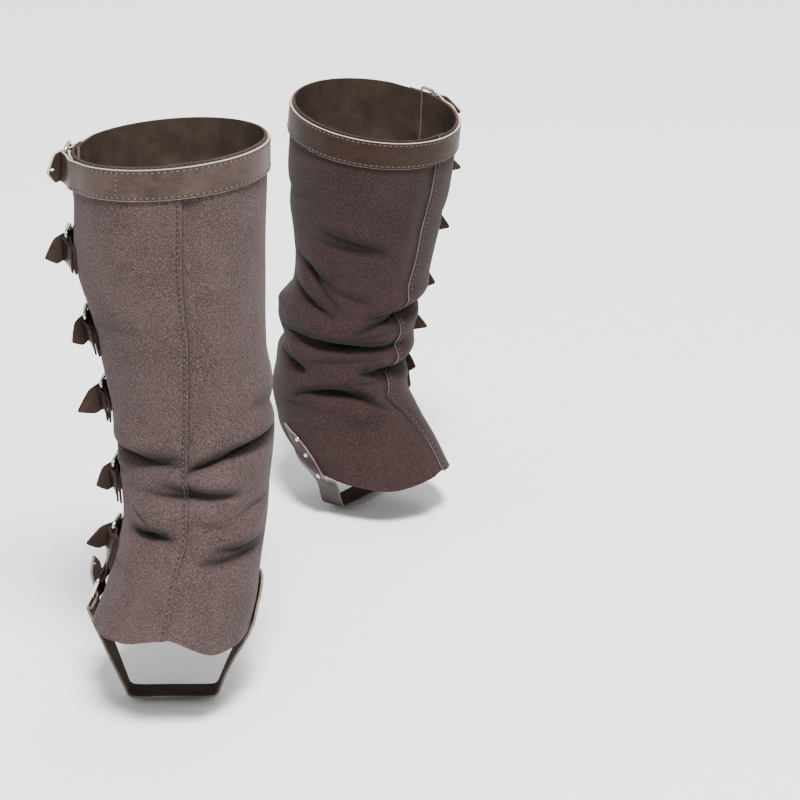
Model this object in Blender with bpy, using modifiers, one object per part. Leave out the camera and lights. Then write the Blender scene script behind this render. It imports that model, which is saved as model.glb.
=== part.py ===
"""A pair of leather boot covers in their worn shape, each one closed by six buckles.

Metres, +Z up. The pair faces -Y. The origin is midway between the two top openings. The near
cover is the right one and closes on its -X side; the far cover, the left one, on its +X side.
"""

import math
from collections import namedtuple

import bmesh
import bpy
from mathutils import Matrix, Vector

MM = 0.001

# Leather and hardware, in millimetres
WALL = 2.0
SEAM_GAP = 0.4
STRAP_THICK = 1.8
STRAP_GAP = 0.5
STRAP_LIFT = STRAP_GAP + STRAP_THICK / 2
BELT_WIDTH = 23.0
BELT_BELOW_TOP = 1.5
STRAP_WIDTH = 21.0
TAB_THICK = 1.6
TAB_WIDTH = 19.0
FOOT_STRAP_WIDTH = 22.0
WIRE = 1.5

# The buckle frame in its own plane: along the strap, across it, and out from the leather
BAR_ALONG = 8.0
FRAME_OUT = 4.3
FRAME_CORNER = 3.0
FRAME_SPARE = 2.6
LOOP_PLAY = 0.6

# The two panels, in degrees round the cover: 0 is the front seam, positive towards the outer side
SEAM_LAP = 8.0
UNDERLAP = 11.0
OPENING = 12.0
LAP_EASE = 16.0
PANEL_STEP = 11.0
STRAP_RUN = 50.0
TAB_RUN = 18.0
BELT_STEP = 10.0

# A pointed strap end: where it starts to narrow, and how much of its width is gone at the point
TIP_START = 0.35
TIP_TAPER = 0.9

# The foot strap: its tip, its buckle above the hem, its tab's turn from the closing edge, in
# degrees, and the turn between the stations of its riveted end
FOOT_TIP = 15.0
FOOT_TIP_LIFT = 24.0
FOOT_BUCKLE_RISE = 14.0
FOOT_TAB_TURN = 9.0
RIVETED_TURN = 4.0
HEM_RADIUS = 62.0

# How far below its top each station of the riveted end lies, None for the hem, and its width
Riveted = namedtuple("Riveted", "drop width")
RIVETED_END = (Riveted(0, 0.6), Riveted(4, 0.9), Riveted(12, 1.0), Riveted(None, 1.0))
# The strap's turn under the cover: how far beyond the flat half, and how high above it
Turn = namedtuple("Turn", "beyond rise")
UNDER_TURN = (Turn(7, 26), Turn(0, 9), Turn(-3, 3), Turn(-9, 0.9))

# Level is the height of a ring's middle; front, back and half_width are its reach from there;
# yaw turns it from -Y towards +X; tip_front and tip_side raise its front and its outer side; edge
# and seam are the angles where the outer panel ends and starts.
Section = namedtuple(
    "Section", "level x y half_width front back yaw tip_front tip_side edge seam", defaults=(0,)
)
# A trough with a roll above it: reach in degrees each way, slope in mm for 90 degrees outwards,
# and bow, how much higher its ends are than a straight line
Fold = namedtuple("Fold", "level angle reach depth width slope bow", defaults=(0,))
# How far the hem hangs below its ring, by angle
Hem = namedtuple("Hem", "angle drop")
# A buckle's level and angle, how its strap slants down, and its free tip's length and lift
Closure = namedtuple("Closure", "level angle droop tip lift")

NEAR = {
    "name": "near",
    "outward": -1,
    "gape": (0.68, 0.84),
    "sections": [
        Section(38, -74, -188, 70, 69, 73, 11, 2.5, -5, 119),
        Section(-6, -74.5, -188, 70, 67, 76, 11, 2, -4, 119),
        Section(-52, -75, -188, 69, 65, 76, 11, 1, -2, 118),
        Section(-98, -69.5, -188, 63, 61, 71, 9, 0, 0, 117),
        Section(-143, -64, -189, 60.5, 58, 63, 3, 0, 0, 115),
        Section(-189, -60, -190, 58.5, 56, 57, -3, 0, 0, 112),
        Section(-220, -60.5, -191, 55.5, 55, 54, -3, 0, 0, 103),
        Section(-250, -62, -193, 54, 57, 54, -3, 0, 0, 86),
        Section(-275, -67, -198, 55.5, 62, 60, -4, 0, 0, 77),
        Section(-297, -72, -206, 57.5, 69, 70, -2, 0, 0, 77),
        Section(-318, -80, -215, 59, 77, 82, 1, 0, 0, 82),
    ],
    "folds": [
        Fold(-190, 43, 44, 5.5, 8, 0),
        Fold(-187, -42, 48, 7.0, 9, -26, -4),
        Fold(-215, -3, 42, 3.5, 8, 2),
        Fold(-248, 32, 26, 5.0, 9, 4),
        Fold(-262, -48, 38, 4.0, 9, -8),
        Fold(-158, -95, 45, 2.5, 10, 14),
        Fold(-205, -150, 48, 6.0, 9, 10),
        Fold(-172, -185, 40, 4.5, 9, -12),
        Fold(-242, -195, 44, 5.5, 9, 8),
    ],
    "hem": [
        Hem(-180, -8), Hem(-145, -4), Hem(-110, 4), Hem(-75, 8), Hem(-35, 6), Hem(0, -11),
        Hem(38, -3), Hem(80, 0), Hem(120, 1), Hem(150, -5), Hem(180, -8),
    ],
    "closures": [
        Closure(-38, 107, 10, 20, 22),
        Closure(-101, 105, 16, 17, 16),
        Closure(-156, 103, 12, 23, 28),
        Closure(-218, 100, 14, 16, 18),
        Closure(-266, 98, 14, 20, 26),
    ],
    "belt_closure": Closure(26, 107, 6, 17, 12),
    "foot": {"angle": -104, "start": -292, "bottom": -388, "shift": -12, "bottom_half": 36},
}

FAR = {
    "name": "far",
    "outward": 1,
    "gape": (0.8, 0.98),
    "sections": [
        Section(-37, 71.5, 188, 67, 69, 72, 50, -11, 1, 104),
        Section(-84, 68, 192, 68.5, 67, 73, 49, -10, 1, 104),
        Section(-119, 65, 196, 66, 62, 69, 48, -9, 0, 103),
        Section(-155, 62, 199, 61, 58, 62, 47, -8, 0, 102),
        Section(-192, 55.5, 202, 58, 56, 59, 44, -7, 0, 100),
        Section(-230, 47, 206, 58, 56, 58, 49, -5, 0, 98),
        Section(-262, 41.5, 210, 57, 57, 58, 47, -3, 0, 96),
        Section(-286, 39, 213, 57.5, 61, 60, 43, -1, 0, 93, 3),
        Section(-302, 42, 212, 58, 70, 65, 50, 0, 0, 91, 4),
        Section(-322, 49, 206, 59, 79, 72, 54, 0, 0, 89, 5.5),
        Section(-345, 58.5, 197, 60, 83, 80, 55, 0, 0, 86, 6),
    ],
    "folds": [
        Fold(-142, -60, 34, 2.5, 9, -6),
        Fold(-170, -91, 30, 3.0, 8, -30),
        Fold(-197, -88, 30, 4.0, 8, -30),
        Fold(-232, -54, 72, 7.5, 8, -4),
        Fold(-209, 8, 48, 7.5, 8, 18, -4),
        Fold(-259, 10, 46, 8.0, 8, 0),
        Fold(-256, -98, 24, 4.0, 8, -26),
        Fold(-281, -50, 46, 6.0, 7, -8, -12),
        Fold(-212, -140, 46, -5.0, 15, 0),
        Fold(-190, -175, 44, 5.0, 8, -14),
        Fold(-244, -170, 50, 6.0, 8, 10),
        Fold(-276, -200, 40, 5.0, 8, -8),
    ],
    "hem": [
        Hem(-180, -26), Hem(-150, -26), Hem(-122, -15), Hem(-92, 3), Hem(-45, 12), Hem(0, 3),
        Hem(38, 7), Hem(82, 2), Hem(120, -6), Hem(150, -18), Hem(180, -26),
    ],
    "closures": [
        Closure(-97, 92, 10, 25, 32),
        Closure(-146, 91, 12, 22, 29),
        Closure(-199, 90, 8, 18, 22),
        Closure(-239, 89, 16, 23, 30),
        Closure(-281, 88, 14, 14, 12),
    ],
    "belt_closure": Closure(-50, 92, 6, 22, 22),
    "foot": {"angle": -109, "start": -322, "bottom": -388, "shift": -8, "bottom_half": 36},
}


def clear_scene():
    for old in list(bpy.data.objects):
        bpy.data.objects.remove(old)


def material(name, colour, roughness, metallic=0.0):
    made = bpy.data.materials.new(name)
    made.use_nodes = True
    shader = made.node_tree.nodes["Principled BSDF"]
    shader.inputs["Base Color"].default_value = (*colour, 1.0)
    shader.inputs["Roughness"].default_value = roughness
    shader.inputs["Metallic"].default_value = metallic
    return made


def smooth_step(share):
    share = min(1.0, max(0.0, share))
    return share * share * (3 - 2 * share)


def between(rows, key, column, at):
    """A smooth value of one column of a table, between the rows on either side of at."""
    keys = [getattr(row, key) for row in rows]
    values = [getattr(row, column) for row in rows]
    if keys[0] > keys[-1]:
        keys, values = keys[::-1], values[::-1]
    at = min(keys[-1], max(keys[0], at))
    i = next((n for n in range(len(keys) - 2) if at <= keys[n + 1]), len(keys) - 2)
    before, after = max(0, i - 1), min(len(keys) - 1, i + 2)
    span = keys[i + 1] - keys[i]
    leave = (values[i + 1] - values[before]) / (keys[i + 1] - keys[before]) * span
    arrive = (values[after] - values[i]) / (keys[after] - keys[i]) * span
    t = (at - keys[i]) / span
    return (
        values[i] * (2 * t**3 - 3 * t**2 + 1)
        + leave * (t**3 - 2 * t**2 + t)
        + values[i + 1] * (3 * t**2 - 2 * t**3)
        + arrive * (t**3 - t**2)
    )


def wrapped(angle):
    return (angle + 180.0) % 360.0 - 180.0


class Cover:
    """The worn shape of one cover: where the leather's outer face lies at an angle and a level."""

    def __init__(self, facts):
        self.facts = facts
        self.name = facts["name"]
        self.sections = facts["sections"]
        self.top = self.sections[0].level
        self.hem = self.sections[-1].level

    def at_level(self, column, level):
        return between(self.sections, "level", column, level)

    def edge(self, level):
        """The angle of the outer panel's closing edge."""
        return self.at_level("edge", level)

    def lap_scale(self, level):
        """How wide the laps are, against their width at the top."""
        return (self.edge(level) - self.at_level("seam", level)) / self.edge(self.top)

    def forward(self):
        """Level with the ground, the way that the hem's front points."""
        yaw = math.radians(self.sections[-1].yaw)
        return Vector((math.sin(yaw), -math.cos(yaw), 0.0))

    def sideways(self):
        """Out from the cover, level with the ground."""
        yaw = math.radians(self.sections[-1].yaw)
        return Vector((math.cos(yaw), math.sin(yaw), 0.0)) * self.facts["outward"]

    def gape(self, level):
        """How far the closing edge stands open: 0 while it is shut, 1 near the hem."""
        tall = (self.top - level) / (self.top - self.hem)
        start, full = self.facts["gape"]
        return smooth_step((tall - start) / (full - start))

    def fold_offset(self, angle, level):
        total = 0.0
        for fold in self.facts["folds"]:
            away = wrapped(angle - fold.angle)
            if abs(away) >= fold.reach:
                continue
            share = math.cos(math.pi / 2 * away / fold.reach)
            middle = fold.level + fold.slope * away / 90.0 + fold.bow * (away / fold.reach) ** 2
            x = (level - middle) / fold.width
            trough = math.exp(-x * x)
            roll_above = math.exp(-(((x - 1.9) / 1.2) ** 2))
            roll_below = math.exp(-(((x + 1.7) / 1.1) ** 2))
            total += fold.depth * share * (0.6 * roll_above + 0.25 * roll_below - trough)
        return total

    def place(self, angle, level, offset):
        """A point on the ring at this level, its reach made longer by offset, in millimetres."""
        a = math.radians(angle)
        yaw = math.radians(self.at_level("yaw", level))
        front = Vector((math.sin(yaw), -math.cos(yaw), 0.0))
        side = Vector((math.cos(yaw), math.sin(yaw), 0.0)) * self.facts["outward"]
        reach = self.at_level("front" if math.cos(a) > 0 else "back", level) + offset
        across = self.at_level("half_width", level) + offset
        tall = self.top - self.hem
        to_hem = smooth_step(((self.top - level) / tall - 0.74) / 0.26)
        drop = between(self.facts["hem"], "angle", "drop", wrapped(angle))
        up = self.at_level("tip_front", level) * math.cos(a)
        up += self.at_level("tip_side", level) * math.sin(a) - drop * to_hem
        middle = Vector((self.at_level("x", level), self.at_level("y", level), level + up))
        return middle + front * (reach * math.cos(a)) + side * (across * math.sin(a))

    def point(self, angle, level, lift=0.0):
        """A point of the outer face, moved out by lift, in metres."""
        return self.place(angle, level, self.fold_offset(angle, level) + lift) * MM

    def normal(self, angle, level):
        """Straight out of the leather, its folds left out."""
        low, high = max(level - 6.0, self.hem), min(level + 6.0, self.top)
        round_it = self.place(angle + 3, level, 0) - self.place(angle - 3, level, 0)
        up = self.place(angle, high, 0) - self.place(angle, low, 0)
        return (up.cross(round_it) * -self.facts["outward"]).normalized()

    def over_folds(self, angle, high, low):
        """How much further out a flat strap lies from high to low, so that it clears the folds."""
        first, last = self.fold_offset(angle, high), self.fold_offset(angle, low)
        excess = 0.0
        for share in (0.2, 0.4, 0.6, 0.8):
            chord = first + (last - first) * share
            bulge = self.fold_offset(angle, high + (low - high) * share)
            excess = max(excess, bulge - chord)
        return excess

    def levels(self):
        """Ring levels: wide apart near the top, close where the leather is in folds."""
        tall = self.top - self.hem
        upper_rows, lower_rows, change = 8, 24, 0.36
        upper = [self.top - tall * change * i / upper_rows for i in range(upper_rows)]
        lower = [
            self.top - tall * (change + (1 - change) * i / lower_rows)
            for i in range(lower_rows + 1)
        ]
        return upper + lower


def fill_grid(shape, columns, rows, place):
    """A flat grid in shape, each of its points then put at place(column, row)."""
    made = bmesh.ops.create_grid(shape, x_segments=columns, y_segments=rows, size=1.0)
    found = {}
    for vertex in made["verts"]:
        column = round((vertex.co.x + 1) / 2 * columns)
        row = round((vertex.co.y + 1) / 2 * rows)
        found[column, row] = vertex
    for (column, row), vertex in found.items():
        vertex.co = place(column, row)
    return found


def finish_piece(name, shape, finish, home):
    mesh = bpy.data.meshes.new(name)
    shape.to_mesh(mesh)
    shape.free()
    mesh.materials.append(finish)
    piece = bpy.data.objects.new(name, mesh)
    home.objects.link(piece)
    return piece


def panel(name, columns, rows, place, finish, home):
    """A wall of leather: its outer and inner faces are grids, joined round the rim.

    Every square is split the same way, so that panels that lie on each other keep their gap.
    """
    shape = bmesh.new()
    for depth in (0.0, WALL):
        fill_grid(shape, columns, rows, lambda column, row: place(column, row, depth))
    bmesh.ops.triangulate(shape, faces=shape.faces, quad_method="FIXED")
    rim = [edge for edge in shape.edges if edge.is_boundary]
    bmesh.ops.bridge_loops(shape, edges=rim)
    bmesh.ops.recalc_face_normals(shape, faces=shape.faces)
    return finish_piece(name, shape, finish, home)


def ribbon(name, stations, thickness, finish, home):
    """A strap: each station is a row of points across it, in order along it, and its outward side."""
    rows = len(stations[0][0]) - 1
    shape = bmesh.new()
    found = fill_grid(shape, len(stations) - 1, rows, lambda column, row: stations[column][0][row])
    shape.normal_update()
    corner = found[0, 0].link_faces[0]
    if corner.normal.dot(stations[0][1]) < 0:
        bmesh.ops.reverse_faces(shape, faces=shape.faces)
    piece = finish_piece(name, shape, finish, home)
    wall = piece.modifiers.new("wall", "SOLIDIFY")
    wall.thickness = thickness * MM
    wall.offset = 0
    wall.use_even_offset = False
    return piece


def outer_panel(cover, finish, home):
    """From the front seam to the closing edge, on top at both."""
    levels = cover.levels()
    columns = round(cover.edge(cover.top) / PANEL_STEP)
    shares = [0.0, SEAM_LAP / cover.edge(cover.top)]
    last = 1 - UNDERLAP / cover.edge(cover.top)
    inside = columns - 3
    shares += [shares[1] + (last - shares[1]) * (i + 1) / (inside + 1) for i in range(inside)]
    shares += [last, 1.0]

    def place(column, row, depth):
        seam = cover.at_level("seam", levels[row])
        angle = seam + shares[column] * (cover.edge(levels[row]) - seam)
        return cover.point(angle, levels[row], -depth)

    name = cover.name + "_outer_panel"
    return panel(name, len(shares) - 1, len(levels) - 1, place, finish, home)


def inner_panel(cover, finish, home):
    """Under the outer panel at the front seam, round the back, and under its closing edge."""
    levels = cover.levels()
    spread = 20
    near_seam = [-LAP_EASE, -8.0, -2.0, 0.0]
    under = -(WALL + SEAM_GAP)

    def place(column, row, depth):
        level = levels[row]
        edge, seam = cover.edge(level), cover.at_level("seam", level)
        scale = cover.lap_scale(level)
        gape = cover.gape(level)
        end = edge - 360 - UNDERLAP * scale * (1 - gape) + OPENING * gape
        near_end = [end, end + UNDERLAP * scale, end + 17, end + 24]
        first, last = near_end[-1] + 8, seam + near_seam[0] - 8
        run = [first + (last - first) * i / (spread - 1) for i in range(spread)]
        lap = [seam + turn for turn in near_seam + [SEAM_LAP * scale]]
        angle = (near_end + run + lap)[column]
        to_seam = smooth_step((seam - angle - 2) / (LAP_EASE - 2))
        to_end = smooth_step((angle - (edge - 360 + OPENING * gape) - 2) / LAP_EASE)
        return cover.point(angle, level, under * (1 - min(to_seam, to_end)) - depth)

    columns = 4 + spread + len(near_seam)
    name = cover.name + "_inner_panel"
    return panel(name, columns, len(levels) - 1, place, finish, home)


class Seat:
    """The local frame of a buckle on the leather: along the strap, across it, and outwards.

    A strap's first edge is its upper one, or its front one where the strap runs upright.
    """

    def __init__(self, cover, angle, level, droop, upright=False):
        self.upright = upright
        self.middle = cover.point(angle, level, cover.over_folds(angle, level + 12, level - 12))
        self.out = cover.normal(angle, level)
        round_it = (cover.point(angle - 2, level) - cover.point(angle + 2, level)).normalized()
        along = round_it if not upright else self.out.cross(round_it)
        if upright and along.z < 0:
            along = -along
        along = (along - self.out * along.dot(self.out)).normalized()
        turn = math.radians(droop)
        down = self.out.cross(along)
        down = down if down.z < 0 else -down
        self.along = along * math.cos(turn) + down * math.sin(turn)
        self.across = self.out.cross(self.along).normalized()
        first = self.across.z if not upright else self.across.dot(cover.forward())
        self.first_edge = 1 if first > 0 else -1

    def point(self, along, out, across=0.0):
        return self.middle + (self.along * along + self.out * out + self.across * across) * MM

    def matrix(self, out):
        rows = Matrix((self.along, self.across, self.out)).transposed().to_4x4()
        rows.translation = self.point(0, out)
        return rows


def buckle_frame(name, seat, strap_width, finish, home):
    """A rounded rectangle of round wire, lying over the strap."""
    half_along = BAR_ALONG
    half_across = strap_width / 2 + FRAME_SPARE
    curve = bpy.data.curves.new(name, "CURVE")
    curve.dimensions = "3D"
    curve.bevel_depth = WIRE * MM
    curve.bevel_resolution = 1
    spline = curve.splines.new("POLY")
    corners = [(1, 1, 0), (-1, 1, 90), (-1, -1, 180), (1, -1, 270)]
    turns = (0, 45, 90)
    spline.points.add(len(corners) * len(turns) - 1)
    n = 0
    for sign_along, sign_across, start in corners:
        for turn in turns:
            a = math.radians(start + turn)
            x = sign_along * (half_along - FRAME_CORNER) + FRAME_CORNER * math.cos(a)
            y = sign_across * (half_across - FRAME_CORNER) + FRAME_CORNER * math.sin(a)
            spline.points[n].co = (x * MM, y * MM, 0, 1)
            n += 1
    spline.use_cyclic_u = True
    piece = bpy.data.objects.new(name, curve)
    home.objects.link(piece)
    piece.matrix_world = seat.matrix(FRAME_OUT)
    curve.materials.append(finish)
    return piece


def local_station(seat, along, out, half_width):
    reach = half_width * seat.first_edge
    points = [seat.point(along, out, reach), seat.point(along, out, -reach)]
    if seat.upright:
        points.insert(1, seat.point(along, out))
    return (points, seat.out)


def upright_station(cover, angle, level, spread, lift):
    """A row across a strap that runs upwards, bent to the leather under it."""
    points = [cover.point(angle + turn, level, lift) for turn in (-spread, 0, spread)]
    if abs(wrapped(angle - spread)) > abs(wrapped(angle + spread)):
        points.reverse()
    return (points, cover.normal(angle, level))


def loop_radius(thickness):
    return WIRE + LOOP_PLAY + thickness / 2


def loop_stations(seat, half_width, thickness):
    """From the leather side round the frame's bar and back over it."""
    radius = loop_radius(thickness)
    made = [local_station(seat, BAR_ALONG + 3.6, FRAME_OUT - radius - 0.2, half_width)]
    for turn in (-90, -135, -180, -225, -270):
        a = math.radians(turn)
        along = BAR_ALONG + radius * math.cos(a)
        out = FRAME_OUT + radius * math.sin(a)
        made.append(local_station(seat, along, out, half_width))
    made.append(local_station(seat, BAR_ALONG + 4.5, FRAME_OUT + 0.4, half_width))
    return made


def strap_end(seat, width, looped, tip, lift):
    """Stations from under the frame's free bar, over its looped bar, to the pointed tip."""
    half = width / 2
    clear = loop_radius(looped) + looped / 2 + STRAP_GAP + STRAP_THICK / 2
    start_along, start_out = -5.0, STRAP_LIFT + 0.2
    to_bar = Vector((BAR_ALONG - start_along, FRAME_OUT - start_out))
    slope = math.atan2(to_bar.y, to_bar.x) + math.asin(clear / to_bar.length)
    touch_along = BAR_ALONG - clear * math.sin(slope)
    touch_out = FRAME_OUT + clear * math.cos(slope)
    stations = [
        local_station(seat, -BAR_ALONG - 1.5, STRAP_LIFT, half),
        local_station(seat, start_along - 1.4, STRAP_LIFT, half),
        local_station(seat, start_along + 0.6, start_out + 0.25, half),
        local_station(seat, touch_along, touch_out, half),
    ]
    run, along, out = 3.6, touch_along, touch_out
    steps = 5
    for i in range(steps):
        bend = slope + (math.radians(lift) - slope) * (i + 1) / steps
        step = run if i == 0 else (tip - run) / (steps - 1)
        along += step * math.cos(bend)
        out += step * math.sin(bend)
        point = (i + 1) / steps
        narrow = 1.0 - TIP_TAPER * max(0.0, (point - TIP_START) / (1 - TIP_START)) ** 1.15
        stations.append(local_station(seat, along, out, half * narrow))
    return stations


def level_stations(cover, angles, level_at, width, lift):
    """Stations on the leather itself: the strap's edges are the panel's points, moved out."""
    made = []
    for angle in angles:
        level = level_at(angle)
        high = min(cover.top, level + width / 2)
        low = high - width
        out = lift + cover.over_folds(angle, high, low)
        points = [cover.point(angle, high, out), cover.point(angle, low, out)]
        made.append((points, cover.normal(angle, level)))
    return made


def closure(cover, number, row, leathers, metal, home):
    """One side strap with its buckle and the tab that holds the buckle."""
    angle = row.angle
    radius = cover.at_level("half_width", row.level)
    seat = Seat(cover, angle, row.level, row.droop)
    slant = math.tan(math.radians(row.droop)) * radius * math.pi / 180

    def level_at(at):
        return row.level + (at - angle) * slant

    steps = 5
    behind = [angle + STRAP_RUN - (STRAP_RUN - 13) * i / steps for i in range(steps + 1)]
    stations = level_stations(cover, behind, level_at, STRAP_WIDTH, STRAP_LIFT)
    stations += strap_end(seat, STRAP_WIDTH, TAB_THICK, row.tip, row.lift)
    name = f"{cover.name}_strap_{number}"
    ribbon(name, stations, STRAP_THICK, leathers["strap"], home)

    bar_angle = BAR_ALONG / radius * 180 / math.pi
    low = STRAP_GAP + TAB_THICK / 2
    ahead = [angle - TAB_RUN - bar_angle + TAB_RUN * i / 2 for i in range(2)]
    stations = level_stations(cover, ahead, level_at, TAB_WIDTH, low)
    stations += loop_stations(seat, TAB_WIDTH / 2, TAB_THICK)
    back = [angle - bar_angle - TAB_RUN * share for share in (0.5, 0.86)]
    stations += level_stations(cover, back, level_at, TAB_WIDTH, low + TAB_THICK + 0.5)
    ribbon(f"{cover.name}_tab_{number}", stations, TAB_THICK, leathers["strap"], home)

    buckle_frame(f"{cover.name}_buckle_{number}", seat, STRAP_WIDTH, metal, home)


def belt(cover, leathers, metal, home):
    """The top belt: looped on its buckle, sewn round the top edge, its tip through the buckle."""
    row = cover.facts["belt_closure"]
    middle = cover.top - BELT_BELOW_TOP - BELT_WIDTH / 2
    angle = row.angle
    radius = cover.at_level("half_width", middle)
    seat = Seat(cover, angle, middle, 0.0)
    end_seat = Seat(cover, angle, middle, row.droop)
    bar_angle = BAR_ALONG / radius * 180 / math.pi
    low = STRAP_GAP + TAB_THICK / 2

    def level_at(_):
        return middle

    half = BELT_WIDTH / 2
    under = [angle - bar_angle - TAB_RUN * share for share in (0.9, 0.45)]
    stations = level_stations(cover, under, level_at, BELT_WIDTH, low)
    stations += loop_stations(seat, half, STRAP_THICK)
    over = [angle - bar_angle - TAB_RUN * share for share in (0.5, 1.0)]
    stations += level_stations(cover, over, level_at, BELT_WIDTH, low + STRAP_THICK + 0.4)
    start = angle - bar_angle - TAB_RUN * 1.55
    finish_angle = angle + 13 - 360
    count = round((start - finish_angle) / BELT_STEP)
    round_it = [start + (finish_angle - start) * i / count for i in range(count + 1)]
    stations += level_stations(cover, round_it, level_at, BELT_WIDTH, STRAP_LIFT)
    stations += strap_end(end_seat, BELT_WIDTH, STRAP_THICK, row.tip, row.lift)
    ribbon(f"{cover.name}_belt", stations, STRAP_THICK, leathers["belt"], home)
    buckle_frame(f"{cover.name}_buckle_1", seat, BELT_WIDTH, metal, home)


def foot_strap(cover, leathers, metal, home):
    """The strap under the cover, riveted inside, buckled outside to a tab that hangs at the edge."""
    facts = cover.facts["foot"]
    half = FOOT_STRAP_WIDTH / 2
    spread = math.degrees(half / HEM_RADIUS)
    tab_angle = cover.edge(cover.hem) + OPENING + FOOT_TAB_TURN
    seat = Seat(cover, tab_angle, cover.hem + FOOT_BUCKLE_RISE, 0.0, upright=True)
    section = cover.sections[-1]
    front, side = cover.forward(), cover.sideways()
    under = Vector((section.x, section.y, facts["bottom"])) + front * facts["shift"]
    down = Vector((0, 0, -1))

    def low_station(across, up, out):
        middle = under + side * across + Vector((0, 0, up))
        return ([(middle + front * half * share) * MM for share in (1, 0, -1)], out)

    stations = []
    for n, row in enumerate(RIVETED_END):
        level = cover.hem - 1 if row.drop is None else facts["start"] - row.drop
        angle = facts["angle"] + RIVETED_TURN * n
        stations.append(upright_station(cover, angle, level, spread * row.width, STRAP_LIFT + 0.3))
    wide = facts["bottom_half"]
    turns = [(wide + row.beyond, row.rise, row.beyond < -5) for row in UNDER_TURN]
    stations += [low_station(-across, rise, down if flat else -side) for across, rise, flat in turns]
    stations.append(low_station(0, UNDER_TURN[-1].rise, down))
    stations += [low_station(across, rise, down if flat else side) for across, rise, flat in turns[:0:-1]]
    for level in (cover.hem - 1.5, cover.hem + 3):
        stations.append(upright_station(cover, tab_angle, level, spread, STRAP_LIFT + 0.4))
    stations += strap_end(seat, FOOT_STRAP_WIDTH, TAB_THICK, FOOT_TIP, FOOT_TIP_LIFT)
    ribbon(f"{cover.name}_foot_strap", stations, STRAP_THICK, leathers["strap"], home)

    half = TAB_WIDTH / 2
    spread = math.degrees(half / HEM_RADIUS)
    tab_top = cover.facts["closures"][-1].level - STRAP_WIDTH / 2 - 3
    low = STRAP_GAP + TAB_THICK / 2
    stations = [upright_station(cover, tab_angle, tab_top - drop, spread, low) for drop in (0, 3)]
    stations += loop_stations(seat, half, TAB_THICK)
    stations.append(upright_station(cover, tab_angle, tab_top - 1, spread, low + TAB_THICK + 0.6))
    ribbon(f"{cover.name}_foot_tab", stations, TAB_THICK, leathers["strap"], home)
    buckle_frame(f"{cover.name}_foot_buckle", seat, FOOT_STRAP_WIDTH, metal, home)


def build():
    clear_scene()
    home = bpy.data.collections.new("boot_covers")
    bpy.context.scene.collection.children.link(home)
    suede = material("suede", (0.16, 0.11, 0.10), 0.95)
    leathers = {
        "belt": material("belt_leather", (0.13, 0.085, 0.06), 0.5),
        "strap": material("strap_leather", (0.055, 0.03, 0.022), 0.55),
    }
    metal = material("buckle_metal", (0.55, 0.53, 0.5), 0.3, 1.0)
    for facts in (NEAR, FAR):
        cover = Cover(facts)
        outer_panel(cover, suede, home)
        inner_panel(cover, suede, home)
        belt(cover, leathers, metal, home)
        for number, row in enumerate(facts["closures"], start=2):
            closure(cover, number, row, leathers, metal, home)
        foot_strap(cover, leathers, metal, home)


build()
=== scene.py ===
import math

import bmesh
import bpy
import numpy as np
from mathutils import Matrix, Vector


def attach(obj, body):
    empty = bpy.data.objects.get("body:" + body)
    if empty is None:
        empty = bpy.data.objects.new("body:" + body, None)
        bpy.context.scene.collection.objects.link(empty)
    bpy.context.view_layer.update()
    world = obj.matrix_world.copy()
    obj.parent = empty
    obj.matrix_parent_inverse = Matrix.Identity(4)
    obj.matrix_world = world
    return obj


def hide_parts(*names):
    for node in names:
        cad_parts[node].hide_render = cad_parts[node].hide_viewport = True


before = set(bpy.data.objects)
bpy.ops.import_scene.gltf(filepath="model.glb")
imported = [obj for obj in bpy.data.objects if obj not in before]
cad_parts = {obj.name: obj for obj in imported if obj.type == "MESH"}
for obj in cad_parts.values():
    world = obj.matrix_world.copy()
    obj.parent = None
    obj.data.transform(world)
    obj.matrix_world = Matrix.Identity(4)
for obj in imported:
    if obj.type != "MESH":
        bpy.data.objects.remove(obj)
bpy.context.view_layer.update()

mm = 0.001

# the leather and the hardware, in millimetres

leather = {
    "wall": 2.0,
    "seamGap": 0.4,
    "seamLap": 8.0,       # degrees, at the top
    "underlap": 11.0,
    "opening": 12.0,
    "lapEase": 16.0,
    "pared": 0.9,         # how much thinner the lapped edge is
    "flare": (0.74, 0.26),      # the flare's start and length, in shares of the height
    "across": 2.4,        # size of one face of the fine panels, round and down
    "down": 1.3,
    "quick": 2.5,
    "meanRadius": 70,
    "seamRadius": 64.0,
    "grooveIn": 3.1,      # from the lapped edge to the middle of the sewn groove
    "bothSpan": 374,      # degrees both panels cover together
    "foldShare": 1.12,    # what the folds take up, in each direction
    "cutShare": 1.08,     # the same for the area, which tapers with the leg
}

strapSizes = {
    "thick": 1.8,
    "gap": 0.5,
    "beltWidth": 23.0,
    "beltBelowTop": 1.5,
    "width": 21.0,
    "tabThick": 1.6,
    "tabWidth": 19.0,
    "footWidth": 22.0,
    "run": 50.0,          # degrees a side strap covers behind its buckle
    "tabRun": 18.0,
    "clearOfBar": 13,     # degrees from the buckle to the last station that lies on the cover
    "beltStep": 8.0,
    "curveSteps": 4,      # rows of the mesh for each station
    "holeBack": 9,        # rows from the tip to the punched hole
}
strapLift = strapSizes["gap"] + strapSizes["thick"] / 2
tabLift = strapSizes["gap"] + strapSizes["tabThick"] / 2

frameSizes = {
    "wire": 1.5,
    "along": 8.0,
    "out": 4.3,
    "corner": 3.0,
    "spare": 2.6,
    "play": 0.6,
    "prong": 0.95,
    "prongRoute": [(8.3, 2.0), (6.4, 2.5), (3.0, 2.3), (0, 2.25), (-4, 2.35), (-7.6, 2.5), (-9.6, 2.2)],
}

# the two covers as they are worn
# a section is a ring: level, middle x and y, half width, reach to front and back, turn,
# rise of the front, rise of the outer side, and the angles of the closing edge and the front seam
sectionColumns = ("level", "x", "y", "halfWidth", "front", "back", "yaw", "tipFront", "tipSide",
                  "edge", "seam")

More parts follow.
